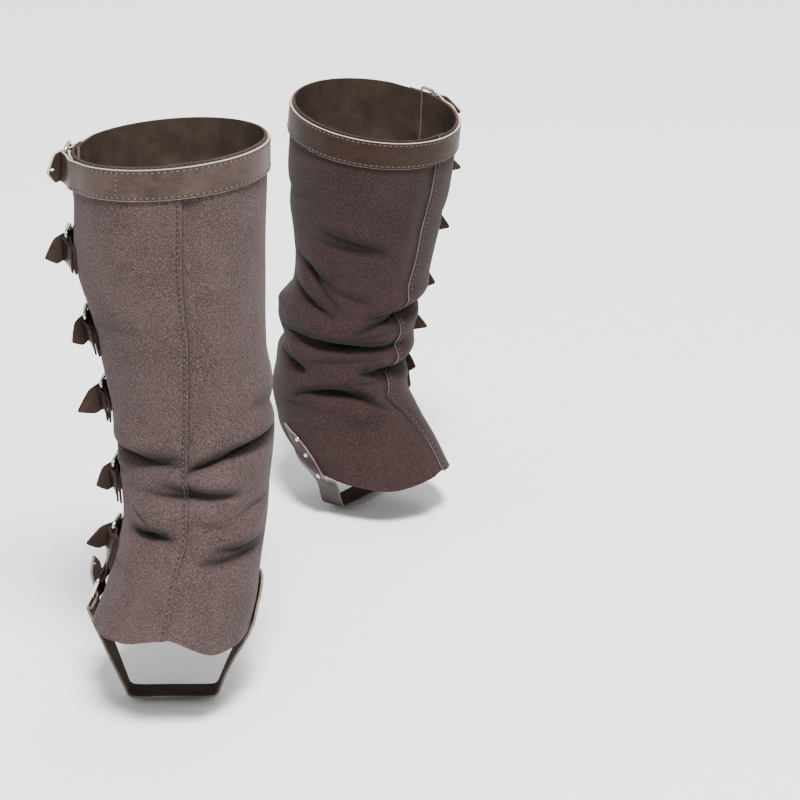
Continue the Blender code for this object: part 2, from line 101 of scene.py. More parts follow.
# a fold or crease is a trough: level, angle, reach in degrees, depth, width, slope over 90 degrees,
# and bow, how much higher its ends are than a straight line
# a pleat: angle, width in degrees, depth, and the levels it runs between
# hem: angle, and how much lower the hem is there
# gape: the shares of the height where the closing edge starts to part and where it is fully open
# a closure: level, angle, droop of its strap in degrees, and its tip's length and lift;
# the belt's has no level of its own
nearCover = {
    "name": "near",
    "outward": -1,
    "gape": (0.68, 0.84),
    "sections": [
        (38, -74, -188, 70, 69, 73, 11, 2.5, -5, 119, 0),
        (-6, -74.5, -188, 70, 67, 76, 11, 2, -4, 119, 0),
        (-52, -75, -188, 69, 65, 76, 11, 1, -2, 118, 0),
        (-98, -69.5, -188, 63, 61, 71, 9, 0, 0, 117, 0),
        (-143, -64, -189, 60.5, 58, 63, 3, 0, 0, 115, 0),
        (-189, -60, -190, 58.5, 56, 57, -3, 0, 0, 112, 0),
        (-220, -60.5, -191, 55.5, 55, 54, -3, 0, 0, 103, 0),
        (-250, -62, -193, 54, 57, 54, -3, 0, 0, 86, 0),
        (-275, -67, -198, 55.5, 62, 60, -4, 0, 0, 77, 0),
        (-297, -72, -206, 57.5, 69, 70, -2, 0, 0, 77, 0),
        (-318, -80, -215, 59, 77, 82, 1, 0, 0, 82, 0),
    ],
    "folds": [
        (-190, 43, 44, 5.5, 8, 0, 0), (-182, -45, 50, 7.0, 9, -16, -6), (-215, -3, 42, 3.5, 8, 2, 0),
        (-248, 32, 26, 5.0, 9, 4, 0), (-262, -48, 38, 4.0, 9, -8, 0), (-158, -95, 45, 2.5, 10, 14, 0),
        (-205, -150, 48, 6.0, 9, 10, 0), (-172, -185, 40, 4.5, 9, -12, 0), (-242, -195, 44, 5.5, 9, 8, 0),
    ],
    "creases": [
        (-187, 44, 46, 2.6, 6, -5, 0), (-180, -62, 34, 2.6, 6, -10, 0), (-190, -12, 14, 2.0, 5, -40, 0),
        (-211, -8, 36, 2.8, 6, 18, 0), (-247, 33, 18, 2.8, 6, -8, 0), (-255, -48, 28, 3.0, 6, 0, 0),
        (-233, 40, 12, 1.6, 4, 40, 0), (-172, 60, 22, 1.2, 5, 10, -2), (-228, -62, 26, 1.5, 5, -12, -2),
        (-206, 70, 20, 1.4, 5, -8, 2), (-238, -20, 18, 1.0, 5, 8, 2), (-150, -60, 30, 0.9, 7, -16, 2),
        (-120, -120, 40, 1.2, 8, 12, -1), (-186, -120, 22, 1.8, 5, -6, 1), (-224, -172, 30, 2.0, 6, -10, 2),
        (-256, -150, 26, 1.6, 6, 6, 2), (-88, 60, 34, 0.8, 10, 8, 0), (-60, -140, 40, 0.9, 12, -10, 1),
        (-276, 56, 18, 1.2, 6, 10, 1), (-20, -170, 36, 0.8, 12, 8, -2),
    ],
    "pleats": [
        (38, 9, 1.8, -268, -330), (-22, 11, 1.5, -272, -330), (-50, 9, 1.3, -284, -330),
        (62, 8, 1.2, -280, -330), (-150, 12, 1.6, -270, -330), (-100, 10, 1.1, -275, -330),
        (14, 14, 0.7, -60, -150), (-34, 18, 0.9, -40, -165),
    ],
    "hem": [
        (-180, -8), (-145, -4), (-110, 4), (-75, 8), (-35, 6), (0, -11),
        (38, -3), (80, 0), (120, 1), (150, -5), (180, -8),
    ],
    "closures": [
        (-38, 107, 10, 20, 22), (-101, 105, 16, 17, 16), (-156, 103, 12, 23, 28),
        (-218, 100, 14, 16, 18), (-266, 98, 14, 20, 26),
    ],
    "beltClosure": (107, 6, 17, 12),
    "foot": {"angle": -104, "start": -292, "bottom": -388, "shift": -12, "bottomHalf": 36, "radius": 62},
}

farCover = {
    "name": "far",
    "outward": 1,
    "gape": (0.8, 0.98),
    "sections": [
        (-37, 71.5, 188, 67, 69, 72, 50, -11, 1, 104, 0),
        (-84, 68, 192, 68.5, 67, 73, 49, -10, 1, 104, 0),
        (-119, 65, 196, 66, 62, 69, 48, -9, 0, 103, 0),
        (-155, 62, 199, 61, 58, 62, 47, -8, 0, 102, 0),
        (-192, 55.5, 202, 58, 56, 59, 44, -7, 0, 100, 0),
        (-230, 47, 206, 58, 56, 58, 49, -5, 0, 98, 0),
        (-262, 41.5, 210, 57, 57, 58, 47, -3, 0, 96, 0),
        (-286, 39, 213, 57.5, 61, 60, 43, -1, 0, 93, 3),
        (-302, 42, 212, 58, 70, 65, 50, 0, 0, 91, 4),
        (-322, 49, 206, 59, 79, 72, 54, 0, 0, 89, 5.5),
        (-345, 58.5, 197, 60, 83, 80, 55, 0, 0, 86, 6),
    ],
    "folds": [
        (-142, -60, 34, 2.5, 9, -6, 0), (-170, -91, 30, 3.0, 8, -30, 0), (-197, -88, 30, 4.0, 8, -30, 0),
        (-232, -54, 72, 7.5, 8, -4, 0), (-203, 4, 50, 7.5, 8, 14, -8), (-259, 10, 46, 8.0, 8, 0, 0),
        (-256, -98, 24, 4.0, 8, -26, 0), (-276, -47, 44, 6.0, 7, -10, -16), (-212, -140, 46, -5.0, 15, 0, 0),
        (-190, -175, 44, 5.0, 8, -14, 0), (-244, -170, 50, 6.0, 8, 10, 0), (-276, -200, 40, 5.0, 8, -8, 0),
    ],
    "creases": [
        (-134, -58, 32, 2.6, 6, -20, -2), (-181, -79, 26, 2.8, 7, -70, 0), (-199, -12, 28, 2.6, 5, 14, -2),
        (-234, -70, 50, 2.8, 5, 4, 0), (-257, -8, 28, 2.8, 5, 0, 0), (-251, -97, 16, 2.6, 5, -60, 0),
        (-274, -42, 30, 2.6, 5, -8, -8), (-186, -50, 26, 1.6, 6, -24, 1), (-220, -18, 26, 1.8, 5, 10, 0),
        (-246, -50, 30, 1.6, 5, 8, -2), (-268, -20, 24, 1.8, 4.5, -6, 2), (-292, -84, 24, 1.5, 6, 8, 0),
        (-120, 30, 34, 1.0, 8, 12, -1), (-204, 60, 30, 2.2, 6, -10, 0), (-236, 66, 30, 2.4, 6, 8, 1),
        (-266, 60, 26, 2.0, 6, -8, -2), (-160, 80, 30, 1.2, 7, 8, 0), (-110, -130, 40, 1.2, 9, 10, 0),
        (-222, 150, 30, 2.0, 6, 8, -2), (-300, -30, 26, 0.9, 7, 6, 2),
    ],
    "pleats": [
        (-30, 12, 1.0, -300, -350), (-66, 10, 1.2, -295, -350), (40, 10, 1.2, -290, -350),
        (160, 12, 1.4, -290, -350), (-44, 18, 0.9, -60, -140), (-100, 16, 0.8, -60, -150),
    ],
    "hem": [
        (-180, -26), (-150, -26), (-122, -15), (-92, 3), (-45, 12), (0, 3),
        (38, 7), (82, 2), (120, -6), (150, -18), (180, -26),
    ],
    "closures": [
        (-97, 92, 10, 25, 32), (-146, 91, 12, 22, 29), (-199, 90, 8, 18, 22),
        (-239, 89, 16, 23, 30), (-281, 88, 14, 14, 12),
    ],
    "beltClosure": (92, 6, 22, 22),
    "foot": {"angle": -109, "start": -322, "bottom": -388, "shift": -8, "bottomHalf": 36, "radius": 62},
}


# the worn form, worked out for whole arrays at once

def tableCurve(keys, values, at):
    # a smooth curve through the rows of a table
    keys, values = np.asarray(keys, float), np.asarray(values, float)
    if keys[0] > keys[-1]:
        keys, values = keys[::-1], values[::-1]
    at = np.clip(np.asarray(at, float), keys[0], keys[-1])
    i = np.clip(np.searchsorted(keys, at, side="left") - 1, 0, len(keys) - 2)
    before, after = np.maximum(i - 1, 0), np.minimum(i + 2, len(keys) - 1)
    span = keys[i + 1] - keys[i]
    leave = (values[i + 1] - values[before]) / (keys[i + 1] - keys[before]) * span
    arrive = (values[after] - values[i]) / (keys[after] - keys[i]) * span
    t = (at - keys[i]) / span
    return (values[i] * (2 * t**3 - 3 * t**2 + 1) + leave * (t**3 - 2 * t**2 + t)
            + values[i + 1] * (3 * t**2 - 2 * t**3) + arrive * (t**3 - t**2))


def sectionColumn(cover, column):
    return [row[sectionColumns.index(column)] for row in cover["sections"]]


def sectionValue(cover, column, level):
    return tableCurve(sectionColumn(cover, "level"), sectionColumn(cover, column), level)


def smoothStep(share):
    share = np.clip(share, 0.0, 1.0)
    return share * share * (3 - 2 * share)


def wrapped(angle):
    return (np.asarray(angle, float) + 180.0) % 360.0 - 180.0


def topLevel(cover):
    return cover["sections"][0][0]


def hemLevel(cover):
    return cover["sections"][-1][0]


def topEdge(cover):
    return sectionColumn(cover, "edge")[0]


# each part of a fold's profile: height, place above the trough, and width, in widths of the fold
foldShape = {
    "roll": (0.6, 1.9, 1.2),
    "lip": (0.25, -1.7, 1.1),
    "trough": (1.0, 0.0, 1.0),
    "core": (1.0, 0.12, 0.3),       # where the painted shade in the fold is darkest, and the softer painted shade above
    "shade": (0.55, 0.55, 0.55),
    "fullShade": 4.3,               # depth of a fold whose painted shade is quite dark
}


def bell(part, x):
    height, place, width = foldShape[part]
    return height * np.exp(-((x - place) / width) ** 2)


def foldPlaces(folds, angle, level):
    # for each fold its depth, its share of it at this angle, and how far above its line the place is
    for foldLevel, foldAngle, reach, depth, width, slope, bow in folds:
        away = wrapped(angle - foldAngle)
        share = np.cos(math.pi / 2 * np.clip(away / reach, -1, 1))
        yield depth, share, (level - foldLevel - slope * away / 90.0 - bow * (away / reach) ** 2) / width


def foldOffset(cover, angle, level, fine=False):
    # how far the folds push the leather out or in
    angle, level = np.broadcast_arrays(np.asarray(angle, float), np.asarray(level, float))
    total = np.zeros(angle.shape)
    for depth, share, x in foldPlaces(cover["folds"] + (cover["creases"] if fine else []), angle, level):
        valley = bell("trough", x)
        if fine:                                        # steep under the roll, sharp at the bottom
            valley = 0.85 * np.exp(-(x * np.where(x > 0, 1.7, 0.9)) ** 2) + 0.5 * np.exp(-np.abs(x) / 0.2)
        total = total + depth * share * (bell("roll", x) + bell("lip", x) - valley)
    if fine:
        for pleatAngle, width, depth, upper, lower in cover["pleats"]:
            away = wrapped(angle - pleatAngle + (level - upper) * 0.05)
            along = smoothStep((upper - level) / 26.0) * smoothStep((level - lower) / 26.0 + 1.0)
            total = total - depth * along * np.exp(-(away / width) ** 2)
        a = np.radians(angle)
        ripple = 0.4 * np.sin(3 * a + level / 31.0) * np.sin(level / 23.0 + 1.3)
        ripple = ripple + 0.25 * np.sin(7 * a - level / 13.0 + 0.7) - 0.45
        total = total + ripple * smoothStep((topLevel(cover) - level - 26) / 14)
    return total


def foldShade(cover, angle, level):
    # 0 to 1: how deep in the shade under a roll the leather lies, darkened into the suede's colour as painted
    #         shade
    angle, level = np.broadcast_arrays(np.asarray(angle, float), np.asarray(level, float))
    total = np.zeros(angle.shape)
    for depth, share, x in foldPlaces(cover["folds"] + cover["creases"], angle, level):
        dark = bell("core", x) + bell("shade", x)
        total = total + max(depth, 0.0) / foldShape["fullShade"] * share ** 0.8 * dark
    return np.clip(total, 0.0, 1.0)


def placeOnCover(cover, angle, level, offset):
    angle, level, offset = np.broadcast_arrays(
        np.asarray(angle, float), np.asarray(level, float), np.asarray(offset, float))
    a = np.radians(angle)
    yaw = np.radians(sectionValue(cover, "yaw", level))
    reach = np.where(np.cos(a) > 0, sectionValue(cover, "front", level),
                     sectionValue(cover, "back", level)) + offset
    across = sectionValue(cover, "halfWidth", level) + offset
    tall = topLevel(cover) - hemLevel(cover)
    start, length = leather["flare"]
    toHem = smoothStep(((topLevel(cover) - level) / tall - start) / length)
    drop = tableCurve([row[0] for row in cover["hem"]], [row[1] for row in cover["hem"]], wrapped(angle))
    up = sectionValue(cover, "tipFront", level) * np.cos(a)
    up = up + sectionValue(cover, "tipSide", level) * np.sin(a) - drop * toHem
    forward, aside = reach * np.cos(a), across * np.sin(a) * cover["outward"]
    x = sectionValue(cover, "x", level) + np.sin(yaw) * forward + np.cos(yaw) * aside
    y = sectionValue(cover, "y", level) - np.cos(yaw) * forward + np.sin(yaw) * aside
    return np.stack([x, y, level + up], axis=-1)


def coverPoint(cover, angle, level, lift=0.0, fine=False):
    # a point of the outer face, moved out by lift, in metres
    return placeOnCover(cover, angle, level, foldOffset(cover, angle, level, fine) + lift) * mm


def unit(v):
    return v / np.maximum(np.linalg.norm(v, axis=-1, keepdims=True), 1e-12)


def coverNormal(cover, angle, level):
    low = np.maximum(np.asarray(level, float) - 6.0, hemLevel(cover))
    high = np.minimum(np.asarray(level, float) + 6.0, topLevel(cover))
    angle = np.asarray(angle, float)
    around = placeOnCover(cover, angle + 3.0, level, 0) - placeOnCover(cover, angle - 3.0, level, 0)
    up = placeOnCover(cover, angle, high, 0) - placeOnCover(cover, angle, low, 0)
    return unit(np.cross(up, around) * -cover["outward"])


def overFolds(cover, angle, high, low):
    # how much further out a flat strap lies, so that it clears the folds
    first, last = foldOffset(cover, angle, high), foldOffset(cover, angle, low)
    shares = np.array([0.2, 0.4, 0.6, 0.8])
    bulge = foldOffset(cover, angle, high + (low - high) * shares)
    return max(0.0, float(np.max(bulge - (first + (last - first) * shares))))


def gapeAt(cover, level):
    start, full = cover["gape"]
    tall = (topLevel(cover) - level) / (topLevel(cover) - hemLevel(cover))
    return smoothStep((tall - start) / (full - start))


# shader groups shared by the finishes

def addSocket(tree, name, direction, kind, value=None):
    made = tree.interface.new_socket(name=name, in_out=direction, socket_type="NodeSocket" + kind)
    if value is not None:
        made.default_value = value
    return made


def newGroup(name, values, results):
    # a shader group with a place, named sizes and named results
    tree = bpy.data.node_groups.new(name, "ShaderNodeTree")
    addSocket(tree, "Place", "INPUT", "Vector")
    for key, value in values.items():
        addSocket(tree, key, "INPUT", "Float", value)
    for key in results:
        addSocket(tree, key, "OUTPUT", "Float")
    return tree, tree.nodes.new("NodeGroupInput").outputs, tree.nodes.new("NodeGroupOutput").inputs


def stretch(tree, place, by):
    node = newNode(tree, "ShaderNodeVectorMath", operation="MULTIPLY")
    tree.links.new(place, node.inputs[0])
    node.inputs[1].default_value = by
    return node.outputs[0]


def setInputs(node, **values):
    # a space in an input's name is written as an underscore
    for key, value in values.items():
        node.inputs[key.replace("_", " ")].default_value = value


def newNode(tree, kind, **values):
    node = tree.nodes.new(kind)
    for key, value in values.items():
        setattr(node, key, value)
    return node


def mathNode(tree, operation, first, second=None, clamp=False):
    node = newNode(tree, "ShaderNodeMath", operation=operation, use_clamp=clamp)
    for socket, value in zip(node.inputs, (first, second)):
        if value is None:
            continue
        if isinstance(value, (int, float)):
            socket.default_value = value
        else:
            tree.links.new(value, socket)
    return node.outputs[0]


def mixColours(tree, factor, first, second):
    node = newNode(tree, "ShaderNodeMix", data_type="RGBA")
    for socket, value in ((node.inputs[0], factor), (node.inputs[6], first), (node.inputs[7], second)):
        if isinstance(value, (int, float)):
            socket.default_value = value
        elif isinstance(value, tuple):
            socket.default_value = (*value, 1.0)
        else:
            tree.links.new(value, socket)
    return node.outputs[2]


def noiseNode(tree, place, scale, detail=3.0, roughness=0.55):
    node = tree.nodes.new("ShaderNodeTexNoise")
    tree.links.new(place, node.inputs["Vector"])
    if isinstance(scale, (int, float)):
        node.inputs["Scale"].default_value = scale
    else:
        tree.links.new(scale, node.inputs["Scale"])
    setInputs(node, Detail=detail, Roughness=roughness)
    return node.outputs["Fac"]


def spread(tree, value, low, high):
    node = newNode(tree, "ShaderNodeMapRange", clamp=True)
    tree.links.new(value, node.inputs["Value"])
    setInputs(node, From_Min=low, From_Max=high)
    return node.outputs["Result"]


def blend(tree, first, firstShare, second, secondShare):
    # a weighted sum of two values
    return mathNode(tree, "ADD", mathNode(tree, "MULTIPLY", first, firstShare),
                    mathNode(tree, "MULTIPLY", second, secondShare))


def napGroup():
    # the brushed face of suede: fine fibres, rubbed patches and their height
    sizes = {"Fibre Scale": 1300.0, "Patch Scale": 26.0}
    tree, here, out = newGroup("brushedNap", sizes, ("Fibre", "Patch", "Height"))
    place = here["Place"]
    fibre = noiseNode(tree, stretch(tree, place, (1.0, 1.0, 0.7)), here["Fibre Scale"], 3.0, 0.7)
    middle = noiseNode(tree, place, 420.0, 3.0, 0.6)
    patch = noiseNode(tree, place, here["Patch Scale"], 4.0, 0.6)
    tree.links.new(spread(tree, fibre, 0.33, 0.67), out["Fibre"])
    tree.links.new(spread(tree, blend(tree, patch, 0.8, middle, 0.2), 0.34, 0.68), out["Patch"])
    tree.links.new(blend(tree, fibre, 0.6, middle, 0.5), out["Height"])
    return tree


def grainGroup():
    # smooth leather: pebbled grain, fine wrinkles and a worn mottle
    tree, here, out = newGroup("leatherGrain", {"Grain Scale": 700.0}, ("Mottle", "Crease", "Height"))
    place = here["Place"]
    cells = newNode(tree, "ShaderNodeTexVoronoi", feature="DISTANCE_TO_EDGE")
    tree.links.new(place, cells.inputs["Vector"])
    tree.links.new(here["Grain Scale"], cells.inputs["Scale"])
    grain = spread(tree, cells.outputs["Distance"], 0.0, 0.25)
    wrinkle = noiseNode(tree, stretch(tree, place, (0.5, 0.5, 1.6)), 260.0, 3.0, 0.6)
    mottle = noiseNode(tree, place, 60.0, 5.0, 0.65)
    tree.links.new(spread(tree, mottle, 0.32, 0.7), out["Mottle"])
    tree.links.new(spread(tree, wrinkle, 0.4, 0.62), out["Crease"])
    tree.links.new(blend(tree, grain, 0.4, wrinkle, 0.8), out["Height"])
    return tree


brushedNap = napGroup()
leatherGrain = grainGroup()


def addTo(tree, value, share, base):
    # base plus a share of a value
    return mathNode(tree, "ADD", mathNode(tree, "MULTIPLY", value, share), base)


def scaled(colour, by):
    return tuple(by * part for part in colour)


def newFinish(name):
    made = bpy.data.materials.new(name)
    made.use_nodes = True
    tree = made.node_tree
    shader = tree.nodes["Principled BSDF"]
    place = tree.nodes.new("ShaderNodeTexCoord").outputs["Object"]
    return made, tree, shader, place


def addBump(tree, shader, height, strength, distance):
    bump = tree.nodes.new("ShaderNodeBump")
    setInputs(bump, Strength=strength, Distance=distance)
    tree.links.new(height, bump.inputs["Height"])
    tree.links.new(bump.outputs["Normal"], shader.inputs["Normal"])


def useGroup(tree, group, place, **values):
    node = tree.nodes.new("ShaderNodeGroup")
    node.node_tree = group
    tree.links.new(place, node.inputs["Place"])
    for key, value in values.items():
        node.inputs[key].default_value = value
    return node.outputs


def readAttribute(tree, name):
    node = tree.nodes.new("ShaderNodeAttribute")
    node.attribute_name = name
    return node.outputs["Fac"]


def suedeFinish(name, dark, light, fibres=1.5):
    # seamDistance is in millimetres from the lapped edge, and is large away from it
    made, tree, shader, place = newFinish(name)
    nap = useGroup(tree, brushedNap, place)
    colour = mixColours(tree, nap["Patch"], dark, light)
    pale = mathNode(tree, "MULTIPLY", mathNode(tree, "SUBTRACT", nap["Fibre"], 0.45), fibres, clamp=True)
    deep = mathNode(tree, "MULTIPLY", mathNode(tree, "SUBTRACT", 0.45, nap["Fibre"]), fibres, clamp=True)
    speck = mixColours(tree, pale, colour, scaled(light, 1.9))
    speck = mixColours(tree, deep, speck, scaled(dark, 0.45))
    # painted shade: the suede darkens in the sewn groove on the outer panel and along the lapped edge on the
    # inner panel; the groove's dip itself is in the bump below
    seam = readAttribute(tree, "seamDistance")
    aside = mathNode(tree, "ABSOLUTE", mathNode(tree, "SUBTRACT", seam, leather["grooveIn"]))
    groove = mathNode(tree, "SUBTRACT", 1.0, mathNode(tree, "MULTIPLY", aside, 0.8), clamp=True)
    paintedShadeColour = mixColours(tree, mathNode(tree, "MULTIPLY", groove, 0.5), speck, scaled(dark, 0.5))
    # painted shade in the folds and creases, near black in the deepest
    paintedFoldShade = mathNode(tree, "MULTIPLY", readAttribute(tree, "foldShade"), 0.97)
    paintedShadeColour = mixColours(tree, paintedFoldShade, paintedShadeColour, scaled(dark, 0.12))
    tree.links.new(paintedShadeColour, shader.inputs["Base Color"])
    setInputs(shader, Roughness=0.93, Specular_IOR_Level=0.25, Sheen_Weight=0.03, Sheen_Roughness=0.5)
    height = mathNode(tree, "SUBTRACT", nap["Height"], mathNode(tree, "MULTIPLY", groove, 1.4))
    addBump(tree, shader, height, 0.55, 0.0006)
    return made


def smoothFinish(name, dark, light, rough, grainScale, shine=0.45):
    made, tree, shader, place = newFinish(name)
    grain = useGroup(tree, leatherGrain, place, **{"Grain Scale": grainScale})
    colour = mixColours(tree, grain["Mottle"], dark, light)
    across = readAttribute(tree, "across")          # 0 in the middle, 1 at the cut edges
    nearEdge = mathNode(tree, "MULTIPLY", mathNode(tree, "SUBTRACT", across, 0.8), 5.0, clamp=True)
    colour = mixColours(tree, mathNode(tree, "MULTIPLY", nearEdge, 0.45), colour, scaled(dark, 0.45))
    crease = mathNode(tree, "MULTIPLY", grain["Crease"], 0.18)
    tree.links.new(mixColours(tree, crease, colour, scaled(light, 1.5)), shader.inputs["Base Color"])
    tree.links.new(addTo(tree, grain["Mottle"], 0.16, rough), shader.inputs["Roughness"])
    setInputs(shader, Specular_IOR_Level=shine, Coat_Weight=0.1 * shine, Coat_Roughness=0.3)
    addBump(tree, shader, grain["Height"], 0.35, 0.0004)
    return made


def rawFinish(name, dark, light):
    # the cut face and the flesh side: loose, dry fibres
    made, tree, shader, place = newFinish(name)
    nap = useGroup(tree, brushedNap, place, **{"Fibre Scale": 1400.0, "Patch Scale": 60.0})
    colour = mixColours(tree, nap["Patch"], dark, light)
    colour = mixColours(tree, mathNode(tree, "MULTIPLY", nap["Fibre"], 0.3), colour, scaled(dark, 0.6))
    tree.links.new(colour, shader.inputs["Base Color"])
    setInputs(shader, Roughness=0.95, Specular_IOR_Level=0.2)
    addBump(tree, shader, nap["Height"], 0.5, 0.0005)
    return made


def metalFinish(name, colour, rough):
    made, tree, shader, place = newFinish(name)
    grain = useGroup(tree, leatherGrain, place, **{"Grain Scale": 420.0})
    mottle = mathNode(tree, "MULTIPLY", grain["Mottle"], 0.5)
    tree.links.new(mixColours(tree, mottle, colour, scaled(colour, 0.55)), shader.inputs["Base Color"])
    tree.links.new(addTo(tree, grain["Crease"], 0.14, rough), shader.inputs["Roughness"])
    shader.inputs["Metallic"].default_value = 1.0
    addBump(tree, shader, grain["Height"], 0.06, 0.0002)
    return made


def threadFinish(name, dark, light):
    made, tree, shader, place = newFinish(name)
    twist = noiseNode(tree, place, 2400.0, 2.0, 0.5)
    tree.links.new(mixColours(tree, twist, dark, light), shader.inputs["Base Color"])
    shader.inputs["Roughness"].default_value = 0.7
    addBump(tree, shader, twist, 0.4, 0.0002)
    return made


finishes = {
    # the far suede is a darker copy of the near suede: painted shade for the far cover
    "nearSuede": suedeFinish("nearSuede", (0.0255, 0.0155, 0.0148), (0.05, 0.032, 0.0308), 1.9),
    "farSuede": suedeFinish("farSuede", (0.0092, 0.004, 0.0036), (0.02, 0.0098, 0.0092), 2.6),
    "rawEdge": rawFinish("rawEdge", (0.32, 0.25, 0.215), (0.5, 0.42, 0.37)),
    "panelEdge": rawFinish("panelEdge", (0.1, 0.074, 0.065), (0.19, 0.148, 0.133)),
    "fleshSide": rawFinish("fleshSide", (0.03, 0.018, 0.0135), (0.057, 0.037, 0.028)),
    # the far belt is likewise a darker copy of the near belt: painted shade
    "nearBelt": smoothFinish("nearBelt", (0.0195, 0.0098, 0.0068), (0.052, 0.0315, 0.025), 0.36, 640.0, 0.22),
    "farBelt": smoothFinish("farBelt", (0.011, 0.0052, 0.0033), (0.027, 0.014, 0.0098), 0.38, 640.0, 0.12),
    "strapFace": smoothFinish("strapFace", (0.007, 0.0028, 0.002), (0.018, 0.0075, 0.0055), 0.4, 820.0),
    "strapEdge": rawFinish("strapEdge", (0.012, 0.006, 0.0042), (0.034, 0.019, 0.014)),
    "nickel": metalFinish("nickel", (0.72, 0.69, 0.64), 0.22),
    "thread": threadFinish("thread", (0.058, 0.04, 0.033), (0.13, 0.094, 0.08)),
    "seamThread": threadFinish("seamThread", (0.03, 0.019, 0.017), (0.085, 0.06, 0.054)),
    # near black beads between the stitches: painted shade where the needle holes are
    "paintedHoleShade": threadFinish("paintedHoleShade", (0.003, 0.002, 0.0015), (0.008, 0.005, 0.004)),
}
print("finishes ready")


# making pieces

def finishPiece(piece, slotName, *nodes):
    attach(piece, "root")
    if nodes:
        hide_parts(*nodes)
    return piece


def addObject(name, data):
    made = bpy.data.objects.new(name, data)
    bpy.context.scene.collection.objects.link(made)
    return made


def plainMesh(piece):
    # the mesh that a piece's modifiers or curve come to
    return bpy.data.meshes.new_from_object(piece.evaluated_get(bpy.context.evaluated_depsgraph_get()))


def meshPiece(name, points, faces, slots, faceSlots, attributes):
    mesh = bpy.data.meshes.new(name)
    mesh.from_pydata(np.asarray(points).reshape(-1, 3).tolist(), [], faces)
    for key in slots:
        mesh.materials.append(finishes[key])
    mesh.polygons.foreach_set("material_index", np.asarray(faceSlots, dtype=np.int32))
    mesh.polygons.foreach_set("use_smooth", np.full(len(mesh.polygons), True))
    for key, values in attributes.items():
        made = mesh.attributes.new(key, "FLOAT", "POINT")
        made.data.foreach_set("value", np.asarray(values, dtype=np.float32).ravel())
    mesh.update()
    return addObject(name, mesh)


def gridFaces(columns, rows, start, flip):
    # squares of a grid whose points run row by row
    column, row = np.meshgrid(np.arange(columns - 1), np.arange(rows - 1))
    first = (row * columns + column + start).ravel()
    quads = np.stack([first, first + 1, first + 1 + columns, first + columns], axis=1)
    return quads[:, ::-1] if flip else quads


def shellPiece(name, outer, inner, slots, outward, attribute, shade):
    # outer and inner are grids of points, row by row: two faces and the cut rim between them
    rows, columns = outer.shape[:2]
    count = rows * columns
    flip = outward > 0
    faces = [gridFaces(columns, rows, 0, flip), gridFaces(columns, rows, count, not flip)]
    rim = np.concatenate([
        np.arange(columns - 1), np.arange(rows - 1) * columns + columns - 1,
        (rows - 1) * columns + np.arange(columns - 1, 0, -1), np.arange(rows - 1, 0, -1) * columns])
    after = np.roll(rim, -1)
    edge = np.stack([after, rim, rim + count, after + count], axis=1)
    faces.append(edge[:, ::-1] if flip else edge)
    kinds = np.concatenate([np.full(len(part), i) for i, part in enumerate(faces)])
    kinds[2 * len(faces[0]):][:columns - 1] = 1         # the belt hides the top edge
    points = np.concatenate([outer.reshape(-1, 3), inner.reshape(-1, 3)])
    values = np.concatenate([attribute.ravel(), np.full(count, 50.0)])
    faces = np.concatenate(faces).tolist()
    shades = np.concatenate([shade.ravel(), np.zeros(count)])
    piece = meshPiece(name, points, faces, slots, kinds, {"seamDistance": values, "foldShade": shades})
    sharpRim(piece)
    return piece


def sharpRim(piece):
    # the cut edges stay crisp under smooth shading
    piece.data.set_sharp_from_angle(angle=math.radians(50))


def panelCells(cover, degrees):
    coarse = 1.0
    rows = int((topLevel(cover) - hemLevel(cover)) / (leather["down"] * coarse))
    return rows, int(math.radians(degrees) * leather["meanRadius"] / (leather["across"] * coarse))


def outerPanel(cover):
    rows, columns = panelCells(cover, topEdge(cover))
    level = np.linspace(topLevel(cover), hemLevel(cover), rows)[:, None]
    edge, seam = sectionValue(cover, "edge", level), sectionValue(cover, "seam", level)
    angle = seam + (edge - seam) * np.linspace(0, 1, columns)[None, :]
    level = np.broadcast_to(level, angle.shape)
    distance = np.radians(angle - seam) * leather["seamRadius"]
    thin = leather["pared"] * (1 - smoothStep(distance / 5.0))
    outer = coverPoint(cover, angle, level, -0.35 * thin, True)
    inner = coverPoint(cover, angle, level, thin * 0.4 - leather["wall"], True)
    piece = shellPiece(cover["name"] + "OuterPanel", outer, inner,
                       (cover["name"] + "Suede", "fleshSide", "panelEdge"), cover["outward"], distance,
                       foldShade(cover, angle, level))
    return finishPiece(piece, "suede", cover["name"] + "_outer_panel")


def innerPanel(cover):
    rows, columns = panelCells(cover, 372 - topEdge(cover))
    level = np.linspace(topLevel(cover), hemLevel(cover), rows)[:, None]
    edge, seam = sectionValue(cover, "edge", level), sectionValue(cover, "seam", level)
    scale = (edge - seam) / topEdge(cover)
    gape = gapeAt(cover, level)
    end = edge - 360 - leather["underlap"] * scale * (1 - gape) + leather["opening"] * gape
    angle = end + (seam + leather["seamLap"] * scale - end) * np.linspace(0, 1, columns)[None, :]
    toSeam = smoothStep((seam - angle - 2) / (leather["lapEase"] - 2))
    toEnd = smoothStep((angle - (edge - 360 + leather["opening"] * gape) - 2) / leather["lapEase"])
    under = -(leather["wall"] + leather["seamGap"]) * (1 - np.minimum(toSeam, toEnd))
    level = np.broadcast_to(level, angle.shape)
    outer = coverPoint(cover, angle, level, under, True)
    inner = coverPoint(cover, angle, level, under - leather["wall"], True)
    slots = (cover["name"] + "Suede", "fleshSide", "panelEdge")
    # offset so that the darkest line lies right at the lapped edge: painted shade under the lap
    beside = np.maximum(np.radians(seam - angle), 0) * leather["seamRadius"] + leather["grooveIn"]
    piece = shellPiece(cover["name"] + "InnerPanel", outer, inner, slots, cover["outward"], beside,
                       foldShade(cover, angle, level))
    return finishPiece(piece, "suede", cover["name"] + "_inner_panel")


# straps: each station is three points across, and the way out of the leather

